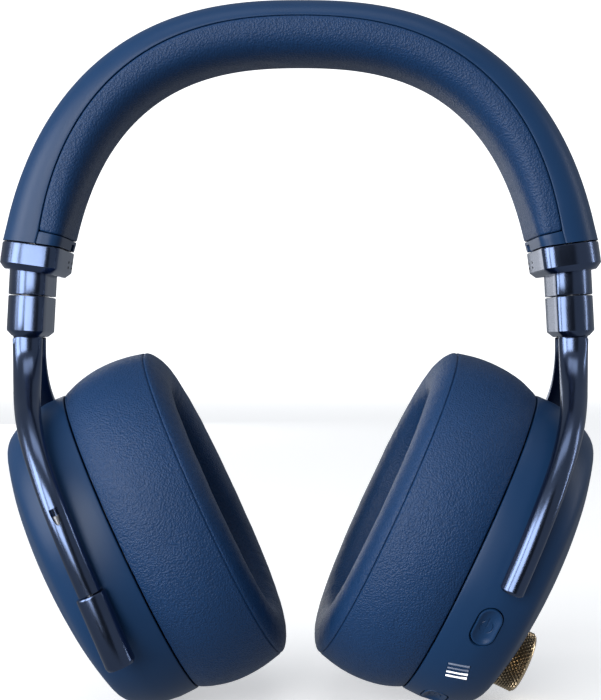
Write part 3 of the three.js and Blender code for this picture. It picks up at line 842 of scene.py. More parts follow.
@dataclass
class Headband:
    """The shell strip and the leather cushion under it, down to the two collars."""

    half_width: float = 87.0
    height: float = 106.1
    centre_z: float = -89.8
    power: float = 2.48
    end_z: float = -47.2
    half_depth: float = 15.0
    crown_thick: float = 16.3
    end_thick: float = 17.9
    crown_seam: float = 6.6
    end_seam: float = 11.4
    flat_half: float = 12.0
    gap: float = 0.3
    channel_half: float = 11.8
    channel_floor_half: float = 9.0
    channel_lip: float = 5.2
    channel_floor: float = 3.2
    cushion_gap: float = 0.5 / 290
    cushion_swell: float = 1.2
    collar_x: float = 76.0
    collar_top: float = -53.1
    collar_bottom: float = -60.7
    collar_tilt: float = 8.0
    steps: int = 150
    line: list[Vector] = field(init=False)

    def __post_init__(self) -> None:
        """Lay the outer line of the band as many evenly spaced points."""
        end = math.acos(((self.end_z - self.centre_z) / self.height) ** (self.power / 2))
        angles = [mix(-end, end, i / 3000) for i in range(3001)]
        power = 2 / self.power
        raw = [Vector((math.copysign(self.half_width * abs(math.sin(a)) ** power, a), 0,
                       self.centre_z + self.height * math.cos(a) ** power)) for a in angles]
        self.line = spaced(raw, 1201)

    def along(self, share: float) -> Vector:
        """Return the place on the outer line at a share of its length."""
        last = len(self.line) - 1
        exact = min(max(share, 0.0), 1.0) * last
        i = min(int(exact), last - 1)
        return self.line[i].lerp(self.line[i + 1], exact - i)

    def spot(self, share: float, across: float, depth: float) -> Vector:
        """Return a place on the band.

        Args:
            share: Share of the outer line, left to right.
            across: Distance from the middle towards the back.
            depth: Distance in from the outer face.

        Returns:
            The place in millimetres, in the right side's frame.
        """
        tangent = (self.along(share + 0.002) - self.along(share - 0.002)).normalized()
        place = self.along(share) + Vector((tangent.z, 0, -tangent.x)) * depth
        place.y = across
        return place

    def thick(self, share: float) -> float:
        """Return the band's whole thickness at a share of its length."""
        return mix(self.crown_thick, self.end_thick, min(1.0, abs(2 * share - 1)) ** 1.5)

    def seam(self, share: float) -> float:
        """Return the depth of the seam between shell and cushion at a share of its length."""
        return mix(self.crown_seam, self.end_seam, min(1.0, abs(2 * share - 1)) ** 1.5)

    def collar_frame(self) -> Matrix:
        """Return the collar's frame inside a side's frame."""
        return axis_turn(self.collar_x, (self.collar_top + self.collar_bottom) / 2, -self.collar_tilt)

    def collar_half(self) -> float:
        """Return half the collar's height."""
        return (self.collar_top - self.collar_bottom) / 2

    def laid(self, outline: Sequence[Pair], thick: float, z: float) -> Ring:
        """Lay an outline square to a local Z axis with its crest at +X."""
        return [Vector((thick / 2 - depth, across, z)) for across, depth in outline]

    def end_ring(self, outline: Sequence[Pair], share: float) -> Ring:
        """Return a ring between the right end of the band and the collar.

        Args:
            outline: Points (across, depth).
            share: 0 at the band's end and 1 at the collar's top.

        Returns:
            The ring, in the right side's frame.
        """
        top = [self.spot(1.0, across, depth) for across, depth in outline]
        frame_of = self.collar_frame()
        low = [frame_of @ p for p in self.laid(outline, self.end_thick, self.collar_half() + self.gap)]
        return [a.lerp(b, share) for a, b in zip(top, low)]

    def band_outline(self, thick: float, half_depth: float, flat_half: float, rounded: bool) -> list[Pair]:
        """Return the rounded D outline of the whole band, of a collar or of a rounder sleeve."""
        rise = thick * 0.66 if rounded else thick - 7
        side = [(half_depth, mix(rise, thick - 3.4, 0.6))]
        edge = corner((flat_half, thick - 3.4), (half_depth - flat_half, 3.4), 0, 90, 7)
        arch = dome(half_depth, rise, rise, 18, 1.95 if rounded else 2.4)
        return mirrored([*arch, *side, *edge, (flat_half / 2, thick), (0.0, thick)])

    def shell_outline(self, share: float) -> list[Pair]:
        """Return the shell's section: arched outside, with a channel for the spring inside."""
        seam = self.seam(share)
        arch = dome(self.half_depth, self.thick(share) - 7, seam - 0.25, 16)
        wide = arch[-1][0]
        lip = corner((wide - 0.25, seam - 0.25), (0.25, 0.25), 20, 90, 3)
        channel = ((self.channel_half, seam), (self.channel_half, self.channel_lip),
                   (self.channel_floor_half, self.channel_floor), (0.0, self.channel_floor))
        return mirrored([*arch, *lip, *channel])

    def cushion_outline(self, share: float, shrink: float = 0.0) -> list[Pair]:
        """Return the cushion's section, evenly spaced.

        Args:
            share: Share of the band's length.
            shrink: How far it is drawn in all round, in millimetres.

        Returns:
            Points (across, depth), starting at the middle of the hidden top face.
        """
        top = self.seam(share) + 0.05 + shrink
        middle = 1 - min(1.0, abs(2 * share - 1)) ** 7
        low = self.thick(share) + self.cushion_swell * middle - shrink
        wide = self.half_depth - shrink
        edge, roll = 0.45, (mix(4.2, wide - 2.0, middle), mix(3.6, (low - top) * 0.8, middle))
        bend = corner((wide - edge, top + edge), (edge, edge), -90, 0)
        half = [(0.0, top), *bend]
        for angle in range(0, 91, 6):
            turn = math.radians(angle)
            across = wide - roll[0] * (1 - math.cos(turn) ** 0.8)
            half.append((across, low - roll[1] * (1 - math.sin(turn) ** 0.8)))
        half.append((0.0, low))
        ring = mirrored(half)
        return [tuple(p) for p in spaced([Vector(p) for p in [*ring, ring[0]]], 91)[:-1]]

    def shell(self) -> Thing:
        """Build the shell strip, which runs past the cushion down to both collars."""
        outline = self.shell_outline(1.0)
        right = [self.end_ring(outline, share) for share in (0.25, 0.5, 0.75, 1.0)]
        left = [self.turned_round(ring) for ring in reversed(right)]
        middle = []
        for i in range(self.steps + 1):
            share = i / self.steps
            middle.append([self.spot(share, a, d) for a, d in self.shell_outline(share)])
        piece = skin("shell_strip", [*left, *middle, *right], Ends.FLAT)
        return smooth(move(piece, LAYOUT.side(Side.RIGHT)), 38)

    @staticmethod
    def turned_round(ring: Ring) -> Ring:
        """Turn a mirrored ring half round about Z and run it the way of the right side's ring."""
        turn = Matrix.Rotation(math.pi, 4, "Z")
        points = [turn @ p for p in ring]
        return [points[0], *reversed(points[1:])]

    def cushion(self) -> Thing:
        """Build the leather cushion, rounded in at both ends and filled by simulation."""
        inset = self.cushion_gap
        stops = [(inset * k, drawn) for k, drawn in ((0.2, 0.6), (0.35, 0.3), (1.0, 0.08))]
        shares = [*stops]
        shares += [(mix(inset * 2.5, 1 - inset * 2.5, i / self.steps), 0.0) for i in range(self.steps + 1)]
        shares += [(1 - s, d) for s, d in reversed(stops)]
        rings = [[self.spot(s, a, d) for a, d in self.cushion_outline(s, drawn)] for s, drawn in shares]
        piece = move(skin("headband_leather", rings), LAYOUT.side(Side.RIGHT))
        return Upholstery(pressure=3.0, limit=0.5).fill(piece, self.sewn)

    def sewn(self, places: np.ndarray) -> np.ndarray:
        """Say which places, in metres, are sewn beside the shell or at an end."""
        table = np.array([(p.x, p.z) for p in self.line[::4]]) * MM
        table[:, 1] += LAYOUT.lift * MM
        gaps = np.hypot(places[:, None, 0] - table[None, :, 0], places[:, None, 1] - table[None, :, 1])
        share = gaps.argmin(axis=1) / (len(table) - 1)
        near_end = np.minimum(share, 1 - share) < 0.008
        seam = np.array([self.seam(x) for x in share])
        return near_end | (gaps.min(axis=1) / MM < seam + 1.3)

    def build(self) -> None:
        """Build and dress the band's own pieces."""
        fit(self.shell(), "headband", "shell_plastic", NAVY_PLASTIC, "headband_shell")
        cushion = fit(self.cushion(), "headband", "leather", BAND_LEATHER, "headband_cushion")


# ---------------------------------------------------------------- upholstery


@dataclass(frozen=True)
class Upholstery:
    """Fills a leather cover by cloth simulation, held along its seams."""

    pressure: float
    limit: float
    frames: int = 20
    stiffness: float = 18.0

    def fill(self, piece: Thing, held: Callable[[np.ndarray], np.ndarray]) -> Thing:
        """Swell a cover and round it with one subdivision.

        Args:
            piece: The closed cover, drawn slightly small.
            held: Says which of some places, in metres, are sewn down.

        Returns:
            The same piece with its final mesh.
        """
        self.simulate(piece, held)
        finish_modifier(piece, "SUBSURF", levels=1, render_levels=1)
        only(piece)
        bpy.ops.object.shade_smooth()
        return piece

    def simulate(self, piece: Thing, held: Callable[[np.ndarray], np.ndarray]) -> None:
        """Run the cloth and keep each point within the limit of where it began."""
        start = np.array([v.co for v in piece.data.vertices])
        group = piece.vertex_groups.new(name="sewn")
        group.add(np.flatnonzero(held(start)).tolist(), 1.0, "REPLACE")
        cloth = piece.modifiers.new("Filling", "CLOTH")
        settings = {
            "quality": 5, "mass": 0.3, "bending_stiffness": 0.6, "tension_stiffness": self.stiffness,
            "compression_stiffness": self.stiffness, "use_pressure": True,
            "uniform_pressure_force": self.pressure, "vertex_group_mass": group.name, "pin_stiffness": 1.0}
        for key, value in settings.items():
            setattr(cloth.settings, key, value)
        cloth.settings.effector_weights.gravity = 0
        cloth.collision_settings.use_collision = False
        for number in range(1, self.frames + 1):
            bpy.context.scene.frame_set(number)
        seen = piece.evaluated_get(bpy.context.evaluated_depsgraph_get())
        swollen = np.array([v.co for v in seen.data.vertices])
        shift = np.nan_to_num(swollen - start)
        length = np.linalg.norm(shift, axis=1, keepdims=True)
        most = self.limit * MM
        kept = start + shift / np.maximum(length, 1e-12) * most * np.tanh(length / most)
        piece.modifiers.remove(cloth)
        piece.vertex_groups.remove(group)
        bpy.context.scene.frame_set(1)
        piece.data.vertices.foreach_set("co", kept.astype(np.float32).ravel())
        piece.data.update()


# ---------------------------------------------------------------- band ends, collars, sleeves and slider


@dataclass
class Arm:
    """One side's fixed end cap, collar and sleeves, and the blade that slides in them."""

    side: Side
    band: Headband
    sleeve_thick: float = 11.8
    sleeve_half: float = 10.6
    sleeve_top: float = 6.0
    sleeve_bottom: float = -11.6
    chamfer: float = 1.5
    blade_half_thick: float = 1.2
    blade_half_width: float = 6.5
    blade_top: float = 41.0
    blade_bottom: float = -2.0
    pin_radius: float = 2.2
    head_radius: float = 3.8
    head_low: float = -4.0
    ledge: float = -6.2
    spigot_radius: float = 4.4
    click_pitch: float = 2.5
    sleeve_edge: float = 1.6
    sleeve_seam: float = 0.1
    notch_x: Pair = (-12.0, -7.9)
    notch_y: Pair = (5.0, 9.2)
    notch_z: Pair = (3.6, 6.1)
    dot_y: Pair = (5.3, 11.2)
    dot_z: float = 0.77

    def name(self, word: str) -> str:
        """Return a piece's name with the side at its end."""
        return f"{word}_{self.side.value}"

    def slot(self, low: float = -30.0, high: float = 60.0) -> Thing:
        """Return the tool that clears the slider's way."""
        play = self.band.gap
        half = (self.blade_half_thick + play, self.blade_half_width + play)
        tool = block("slot", (-half[0], -half[1], low), (half[0], half[1], high))
        return move(tool, LAYOUT.slider())

    def stacked(self, word: str, sleeve: bool, levels: Sequence[Pair], slant: float = 0.0) -> Thing:
        """Stack the collar's or a sleeve's D outline along local Z, drawn in at some levels.

        Args:
            word: The new piece's name without its side.
            sleeve: Whether it is a sleeve.
            levels: Pairs [height, how far it is drawn in], from the top down.
            slant: Rise per millimetre of X of the top two levels.

        Returns:
            The piece in its own frame.
        """
        thick, half, flat = self.band.end_thick, self.band.half_depth, self.band.flat_half
        if sleeve:
            thick, half, flat = self.sleeve_thick, self.sleeve_half, self.sleeve_half - self.sleeve_edge
        outline = self.band.band_outline(thick, half, flat, sleeve)
        rings = []
        for number, (z, drawn) in enumerate(levels):
            wide, deep = 1 - drawn / half, 1 - 2 * drawn / thick
            rise = slant if number < 2 else 0.0
            ring = self.band.laid(outline, thick, z)
            rings.append([Vector((p.x * deep, p.y * wide, p.z + rise * p.x)) for p in ring])
        return skin(self.name(word), rings)

    def end_cap(self) -> Thing:
        """Build the smooth inner part between the cushion's end and the collar, with its notch."""
        band = self.band
        levels = ((0.02, 0.5), (0.025, 0.2), (0.05, 0.06), (0.1, 0.02), (0.5, 0.02), (0.8, 0.02),
                  (0.995, 0.02))
        rings = [band.end_ring(band.cushion_outline(1.0, drawn), share) for share, drawn in levels]
        piece = skin(self.name("end_cap_shell"), rings)
        across = sorted(self.side.back * y for y in self.notch_y)
        low, high = zip(self.notch_x, across, self.notch_z)
        notch = block("notch", low, high, 0.2)
        carve(piece, [self.slot(), move(notch, band.collar_frame())])
        return smooth(move(piece, LAYOUT.side(self.side)), 38)

    def collar(self) -> Thing:
        """Build the polished collar with its chamfered lower edge."""
        band = self.band
        high, low = band.collar_half(), -band.collar_half()
        levels = ((high, 0.35), (high - 0.12, 0.1), (high - 0.4, 0.0), (0.0, 0.0), (low + 1.75, 0.0),
                  (low + 1.5, 0.12), (low + 0.15, 1.35), (low, 1.6))
        piece = self.stacked("polished_collar", False, levels)
        carve(move(piece, band.collar_frame()), [self.slot()])
        return smooth(move(piece, LAYOUT.side(self.side)), 24)

    def dots(self) -> Thing:
        """Build four tiny raised dots on the collar's inner face."""
        group = None
        for y in self.dot_y:
            for z in (-self.dot_z, self.dot_z):
                dot = turned("dot", [(0.42, -0.2), (0.42, 0.02), (0.3, 0.1)], 16)
                place = Matrix.Translation((-self.band.end_thick / 2, y * self.side.back, z))
                move(dot, place @ Matrix.Rotation(math.radians(-90), 4, "Y"))
                if group is None:
                    group = dot
                else:
                    carve(group, [dot], "UNION")
        group.name = self.name("collar_dots")
        move(group, LAYOUT.side(self.side) @ self.band.collar_frame())
        return smooth(group)

    def upper_sleeve(self) -> Thing:
        """Build the sleeve that is fixed under the collar."""
        slant = math.tan(math.radians(self.band.collar_tilt - LAYOUT.sleeve_tilt))
        high, low = self.sleeve_top, self.sleeve_seam
        levels = ((high + 1.3, 0.0), (high - 1.2, 0.0), (low + 0.3, 0.0), (low + 0.08, 0.08), (low, 0.25))
        piece = self.stacked("upper_sleeve_tube", True, levels, slant)
        carve(move(piece, LAYOUT.swivel()), [self.slot()])
        return smooth(move(piece, LAYOUT.side(self.side)), 24)

    def lower_sleeve(self) -> Thing:
        """Build the sleeve on the slider that carries the fork's swivel."""
        high, low, chamfer = -0.15, self.sleeve_bottom, self.chamfer
        levels = ((high, 0.25), (high - 0.08, 0.08), (high - 0.3, 0.0), (-4.0, 0.0),
                  (low + chamfer + 0.15, 0.0), (low + chamfer - 0.1, 0.12), (low + 0.15, chamfer - 0.12),
                  (low, chamfer + 0.1))
        piece = self.stacked("lower_sleeve_tube", True, levels)
        bores = [turned("bore", [(r, z0), (r, z1)], 32) for r, z0, z1 in (
            (self.pin_radius + 0.15, self.ledge - 1, 1.0), (self.head_radius + 0.3, self.head_low, 2.0),
            (self.spigot_radius + 0.25, low - 1, self.ledge))]
        carve(move(piece, LAYOUT.swivel()), [move(bore, LAYOUT.swivel()) for bore in bores])
        carve(piece, [self.slot(self.blade_bottom - 0.3, 2.0)])
        return smooth(move(piece, LAYOUT.side(self.side)), 24)

    def blade(self) -> Thing:
        """Build the spring steel blade with click notches along both edges."""
        half, wide, edge = self.blade_half_thick, self.blade_half_width, 0.3
        levels = [(self.blade_bottom, 0.3), (self.blade_bottom + 0.3, 0.0)]
        first = self.blade_bottom + 5
        while first < self.blade_top - 3:
            levels += [(first, 0.0), (first + 0.35, 0.5), (first + 0.75, 0.5), (first + 1.1, 0.0)]
            first += self.click_pitch
        levels += [(self.blade_top - 0.3, 0.0), (self.blade_top, 0.3)]
        rings = []
        for z, drawn in levels:
            w = wide - drawn
            ring = [(half, w - edge), (half - edge, w), (-half + edge, w), (-half, w - edge),
                    (-half, edge - w), (-half + edge, -w), (half - edge, -w), (half, edge - w)]
            rings.append([Vector((x, y, z)) for x, y in ring])
        piece = move(skin(self.name("notched_blade"), rings), LAYOUT.slider())
        return smooth(move(piece, LAYOUT.side(self.side)), 30)

    def build(self) -> None:
        """Build and dress this arm's pieces."""
        s = self.side.value
        fit(self.end_cap(), "headband", "shell_plastic", NAVY_PLASTIC, f"end_cap_{s}")
        fit(self.collar(), "headband", "gunmetal", GUNMETAL, f"collar_{s}")
        # the dots' near-black colour is painted shade
        fit(self.dots(), "headband", "dark_plastic", PAINTED_HOLE_SHADE)
        fit(self.upper_sleeve(), "headband", "gunmetal", GUNMETAL, f"upper_sleeve_{s}")
        fit(self.lower_sleeve(), f"slider_{s}", "gunmetal", GUNMETAL, f"lower_sleeve_{s}")
        fit(self.blade(), f"slider_{s}", "spring_steel", SPRING_STEEL, f"slider_blade_{s}")


# ---------------------------------------------------------------- fork and microphone


@dataclass
class Fork:
    """One side's fork: two half round legs under a crown, and on the left the microphone.

    A leg's end is a run of pairs [distance past the leg's last point, share drawn in to its middle].
    """

    side: Side
    leg_y: float = 42.9
    half_width: float = 3.15
    top_half_width: float = 4.2
    out: float = 2.8
    inset: float = 1.6
    rod_radius: float = 0.85
    rod_offset: float = 0.7
    capsule_top: float = 1.25
    capsule_length: float = 20.0
    capsule_scale: float = 1.28
    steps: int = 72
    crown_top: float = -11.6
    square_end: tuple[Pair, ...] = ((0.82, 0.0), (0.9, 0.0))
    chamfered_end: tuple[Pair, ...] = ((0.35, 0.0), (0.45, 0.02), (0.88, 0.15), (0.9, 0.17))

    def leg_line(self, sign: int) -> list[Vector]:
        """Lay the centre line of one leg: down from the sleeve, out round the cup and down its side.

        Args:
            sign: 1 for the leg at +Y, -1 for the other.

        Returns:
            Evenly spaced points in the fork's frame.
        """
        stops = [(77.4, 5.3, -79.4), (77.3, 6.6, -85.0), (76.9, 11.0, -91.0), (76.0, 18.8, -97.1),
                 (74.5, 27.0, -102.6), (72.0, 34.0, -109.6), (68.6, 39.2, -118.0), (64.9, 42.0, -126.8),
                 (61.2, self.leg_y, -135.7), (57.7, self.leg_y, -143.9)]
        return spline([(x, sign * y, z) for x, y, z in stops], self.steps + 1)

    def ring(self, at: Vector, tangent: Vector, sign: int, half: float, scale: float = 1.0) -> Ring:
        """Return a leg's section: round outside and flat with soft edges inside."""
        outward = (Vector((0, sign, 0)) - tangent * sign * tangent.y).normalized()
        across = tangent.cross(outward)
        points = []
        for i in range(19):
            angle = math.pi * i / 18
            rise = mix(-self.inset * 0.35, self.out, math.sin(angle) ** 0.85)
            points.append((half * math.cos(angle), rise))
        flat = ((0.99, 0.6), (0.93, 0.88), (0.82, 1.0), (0.4, 1.0))
        points += [(-half * wide, -self.inset * deep) for wide, deep in flat]
        points += [(half * wide, -self.inset * deep) for wide, deep in reversed(flat)]
        return [at + across * x * scale + outward * (r * scale if r > 0 else r) for x, r in points]

    def leg(self, sign: int) -> Thing:
        """Build one leg, with a square end where the microphone plugs on and a chamfer elsewhere."""
        line = self.leg_line(sign)
        rings = []
        ends = self.square_end if sign > 0 and self.side is Side.LEFT else self.chamfered_end
        for i, at in enumerate(line):
            before, after = line[max(i - 1, 0)], line[min(i + 1, self.steps)]
            tangent = (after - before).normalized()
            half = mix(self.top_half_width, self.half_width, min(1.0, i / self.steps * 1.7) ** 0.85)
            rings.append(self.ring(at, tangent, sign, half))
        for drop, draw in ends:
            rings.append([p.lerp(line[-1], draw) + tangent * drop for p in rings[self.steps]])
        return skin("leg", rings)

    def boom_axis(self) -> tuple[Vector, Vector]:
        """Return the end of the microphone's leg and the direction down from it."""
        line = self.leg_line(1)
        return line[-1], (line[-1] - line[-2]).normalized()

    def down_leg(self) -> Matrix:
        """Return the frame at the microphone leg's end whose -Z runs on down."""
        end, down = self.boom_axis()
        turn = Vector((0, 0, -1)).rotation_difference(down).to_matrix().to_4x4()
        return Matrix.Translation(end + Vector((0, self.rod_offset, 0))) @ turn

    def yoke(self) -> Thing:
        """Build the whole fork in one casting."""
        low = self.crown_top
        crown = block("crown", (-3.3, -7.0, low - 2.6), (3.3, 7.0, low - 0.3), 0.5)
        profile = ((3.4, low - 1.5), (4.0, low - 0.5), (4.4, low + 0.6), (4.4, -6.8), (4.1, -6.5))
        spigot = turned("spigot", profile, 40)
        move(crown, LAYOUT.swivel())
        move(spigot, LAYOUT.swivel())
        piece = carve(self.leg(1), [self.leg(-1), crown, spigot], "UNION")
        if self.side is Side.LEFT:
            bore = turned("bore", [(self.rod_radius + 0.3, -3.0), (self.rod_radius + 0.3, 23.0)], 24)
            carve(piece, [move(bore, self.down_leg())])
        piece.name = f"fork_casting_{self.side.value}"
        return smooth(move(piece, LAYOUT.yoke(self.side)), 30)

    def capsule(self) -> Thing:
        """Build the microphone's capsule with a shallow collar line and a sound slot at its tip."""
        end, down = self.boom_axis()
        top, length = self.capsule_top, self.capsule_length
        stops = ((top, 0.94), (top + 0.05, 0.96), (top + 0.35, 0.995), (top + 0.5, 1.0),
                 (length * 0.5, 1.0), (length + 0.6, 1.0), (length + 0.72, 0.985), (length + 1.34, 0.9),
                 (length + 1.4, 0.88))
        rings = [self.ring(end + down * t, down, 1, self.half_width, self.capsule_scale * grow)
                 for t, grow in stops]
        piece = skin("mic_barrel", rings)
        bore = turned("bore", [(self.rod_radius + 0.3, -5.6), (self.rod_radius + 0.3, 0.0)], 24)
        port = block("port", (-1.5, -0.45, -length - 3), (1.5, 0.45, -length - 0.6), 0.2)
        sound = block("sound", (-0.5, 3.0, -6.4), (0.5, 5.0, -3.4), 0.2)
        carve(piece, [move(tool, self.down_leg()) for tool in (bore, port, sound)])
        return smooth(move(piece, LAYOUT.yoke(self.side)), 30)

    def build(self) -> None:
        """Build and dress the fork and, on the left, the microphone."""
        s = self.side.value
        fit(self.yoke(), f"yoke_{s}", "gunmetal", GUNMETAL, f"fork_{s}")
        if self.side is Side.LEFT:
            fit(self.capsule(), "mic_boom", "gunmetal", GUNMETAL, "mic_capsule")


# ---------------------------------------------------------------- ear cups


@dataclass
class Cup:
    """One ear cup's housing with its openings, in the cup's frame: X out, Z up along the cup.

    The profile and the rim are points [distance out along X, half height there].
    """

    side: Side
    half_height: float = 45.8
    half_depth: float = 41.2
    power: float = 2.12
    wall: float = 2.2
    pivot_x: float = 11.7
    pivot_z: float = 4.5
    bush_radius: float = 4.0
    pin_radius: float = 2.3
    around: int = 176
    screen_half_height: float = 30.6
    screen_half_depth: float = 22.6
    profile: tuple[Pair, ...] = (
        (0.3, 45.7), (6, 45.8), (11, 45), (15.5, 43.2), (18.8, 41.2), (20.3, 39.4), (21.1, 37.4),
        (23.6, 28.5), (25.6, 16), (26.5, 3))
    rim: tuple[Pair, ...] = ((0.3, 45.25), (0.36, 45.5), (0.55, 45.66), (0.9, 45.72), (2.5, 45.78))

    def squared(self, value: float) -> float:
        """Return a sine or cosine bent so that the circle becomes a soft square."""
        return math.copysign(abs(value) ** (2 / self.power), value)

    def oval(self, x: float, height: float, depth: float, angle: float) -> Vector:
        """Return a point on an oval round the cup's axis, at an angle from its top in radians."""
        return Vector((x, depth * self.squared(math.sin(angle)), height * self.squared(math.cos(angle))))

    def ring(self, x: float, height: float, depth: float, count: int | None = None) -> Ring:
        """Return one oval ring."""
        total = count or self.around
        return [self.oval(x, height, depth, math.tau * i / total) for i in range(total)]

    def depth_for(self, height: float) -> float:
        """Return the housing's half depth where its half height is given."""
        return height - (self.half_height - self.half_depth) * min(1.0, height / 25)

    def housing(self, tools: Sequence[Thing]) -> Thing:
        """Build the bowl and cut its openings.

        Args:
            tools: Tools in the cup's frame.

        Returns:
            The finished housing in the row's frame.
        """
        outer = [tuple(p) for p in spline([*self.profile[1:], (26.55, 0.4)], 46)]
        inner = []
        for x, height in spaced([Vector(p) for p in self.profile], 24):
            slope = min(1.0, max(0.0, (x - 18) / 7))
            slope = slope * slope * (3 - 2 * slope)
            inner.append((x - self.wall * slope, max(2.0, height - self.wall * (1 - slope * 0.9))))
        line = [*reversed(outer), *reversed(self.rim), (0.3, inner[0][1] + 0.3), *inner]
        piece = skin(f"cup_bowl_{self.side.value}", [self.ring(x, h, self.depth_for(h)) for x, h in line])
        for sign in (1, -1):
            wide, narrow = self.bush_radius + 0.2, self.pin_radius + 0.05
            bore = turned("bore", [(wide, 30.0), (wide, 38.0), (narrow, 38.0), (narrow, 46.0)], 40)
            tools = [*tools, move(bore, self.pivot_frame(sign))]
        carve(piece, tools)
        return smooth(move(piece, LAYOUT.cup(self.side)), 30)

    def pivot_frame(self, sign: int) -> Matrix:
        """Return the frame of one tilt pivot in the cup's frame, its Z out along the pin."""
        turn = Matrix.Rotation(-sign * math.pi / 2, 4, "X")
        return Matrix.Translation((self.pivot_x, 0, self.pivot_z)) @ turn

    def end_word(self, sign: int) -> str:
        """Return whether the pivot at +Y or -Y is the front or the rear one."""
        return "rear" if sign * self.side.back > 0 else "front"

    def bush(self, sign: int) -> Thing:
        """Build one flanged plain bearing for a tilt pin, sunk behind the housing's wall."""
        inner, outer = self.pin_radius + 0.15, self.bush_radius
        profile = [(inner, 34.7), (inner + 0.2, 34.5), (outer - 0.2, 34.5), (outer, 34.7), (outer, 37.7),
                   (outer - 0.2, 37.9), (inner + 0.2, 37.9), (inner, 37.7)]
        piece = turned(f"bearing_{self.side.value}_{self.end_word(sign)}", profile, 40, Ends.JOINED)
        return smooth(move(piece, LAYOUT.cup(self.side) @ self.pivot_frame(sign)))

    def wall_place(self, x: float, degrees: float, spin: float = 0.0) -> Matrix:
        """Return the frame on the housing's side whose Z points out and whose Y runs round the cup.

        Args:
            x: Distance out along the cup's axis.
            degrees: Angle round the cup, 0 at the top and -90 at the front of the right cup.
            spin: Turn about the outward direction in degrees.

        Returns:
            The frame, in the cup's frame.
        """
        angle = math.radians(degrees)

        def at(px: float, around: float) -> Vector:
            """Return the surface point at a distance out and an angle."""
            height = float(np.interp(px, [p[0] for p in self.profile], [p[1] for p in self.profile]))
            return self.oval(px, height, self.depth_for(height), around)

        here = at(x, angle)
        along = (at(x, angle + 0.01) - at(x, angle - 0.01)).normalized()
        across = at(x + 0.5, angle) - at(x - 0.5, angle)
        normal = across.cross(along).normalized()
        if normal.dot(here) < 0:
            normal.negate()
        side = along.cross(normal).normalized()
        basis = Matrix((side, along, normal)).transposed().to_4x4()
        return Matrix.Translation(here) @ basis @ Matrix.Rotation(math.radians(spin), 4, "Z")

    def screen(self) -> Thing:
        """Build the acoustic cloth in front of the driver, drawn slightly up in its middle."""
        rings = []
        for share in (1.0, 0.985, 0.93, 0.8, 0.6, 0.4, 0.2, 0.05):
            rise = 0.5 * (1 - share * share)
            height, depth = self.screen_half_height * share, self.screen_half_depth * share
            rings.append(self.ring(0.5 - rise, height, depth, 96))
        back = [[p + Vector((0.3, 0, 0)) for p in ring] for ring in rings]
        piece = skin(f"acoustic_screen_{self.side.value}", [*reversed(rings), *back])
        return smooth(move(piece, LAYOUT.cup(self.side)), 40)

    def build(self, tools: Sequence[Thing]) -> None:
        """Build and dress the housing, with some tools cut out of it, and the bearings and screen."""
        s = self.side.value
        fit(self.housing(tools), f"cup_{s}", "shell_plastic", NAVY_PLASTIC, f"cup_housing_{s}")
        for sign in (1, -1):
            node = f"pivot_bush_{s}_{self.end_word(sign)}"
            fit(self.bush(sign), f"cup_{s}", "dark_plastic", BLACK_PLASTIC, node)
        screen = fit(self.screen(), f"cup_{s}", "speaker_cloth", SCREEN_CLOTH, f"speaker_cloth_{s}")


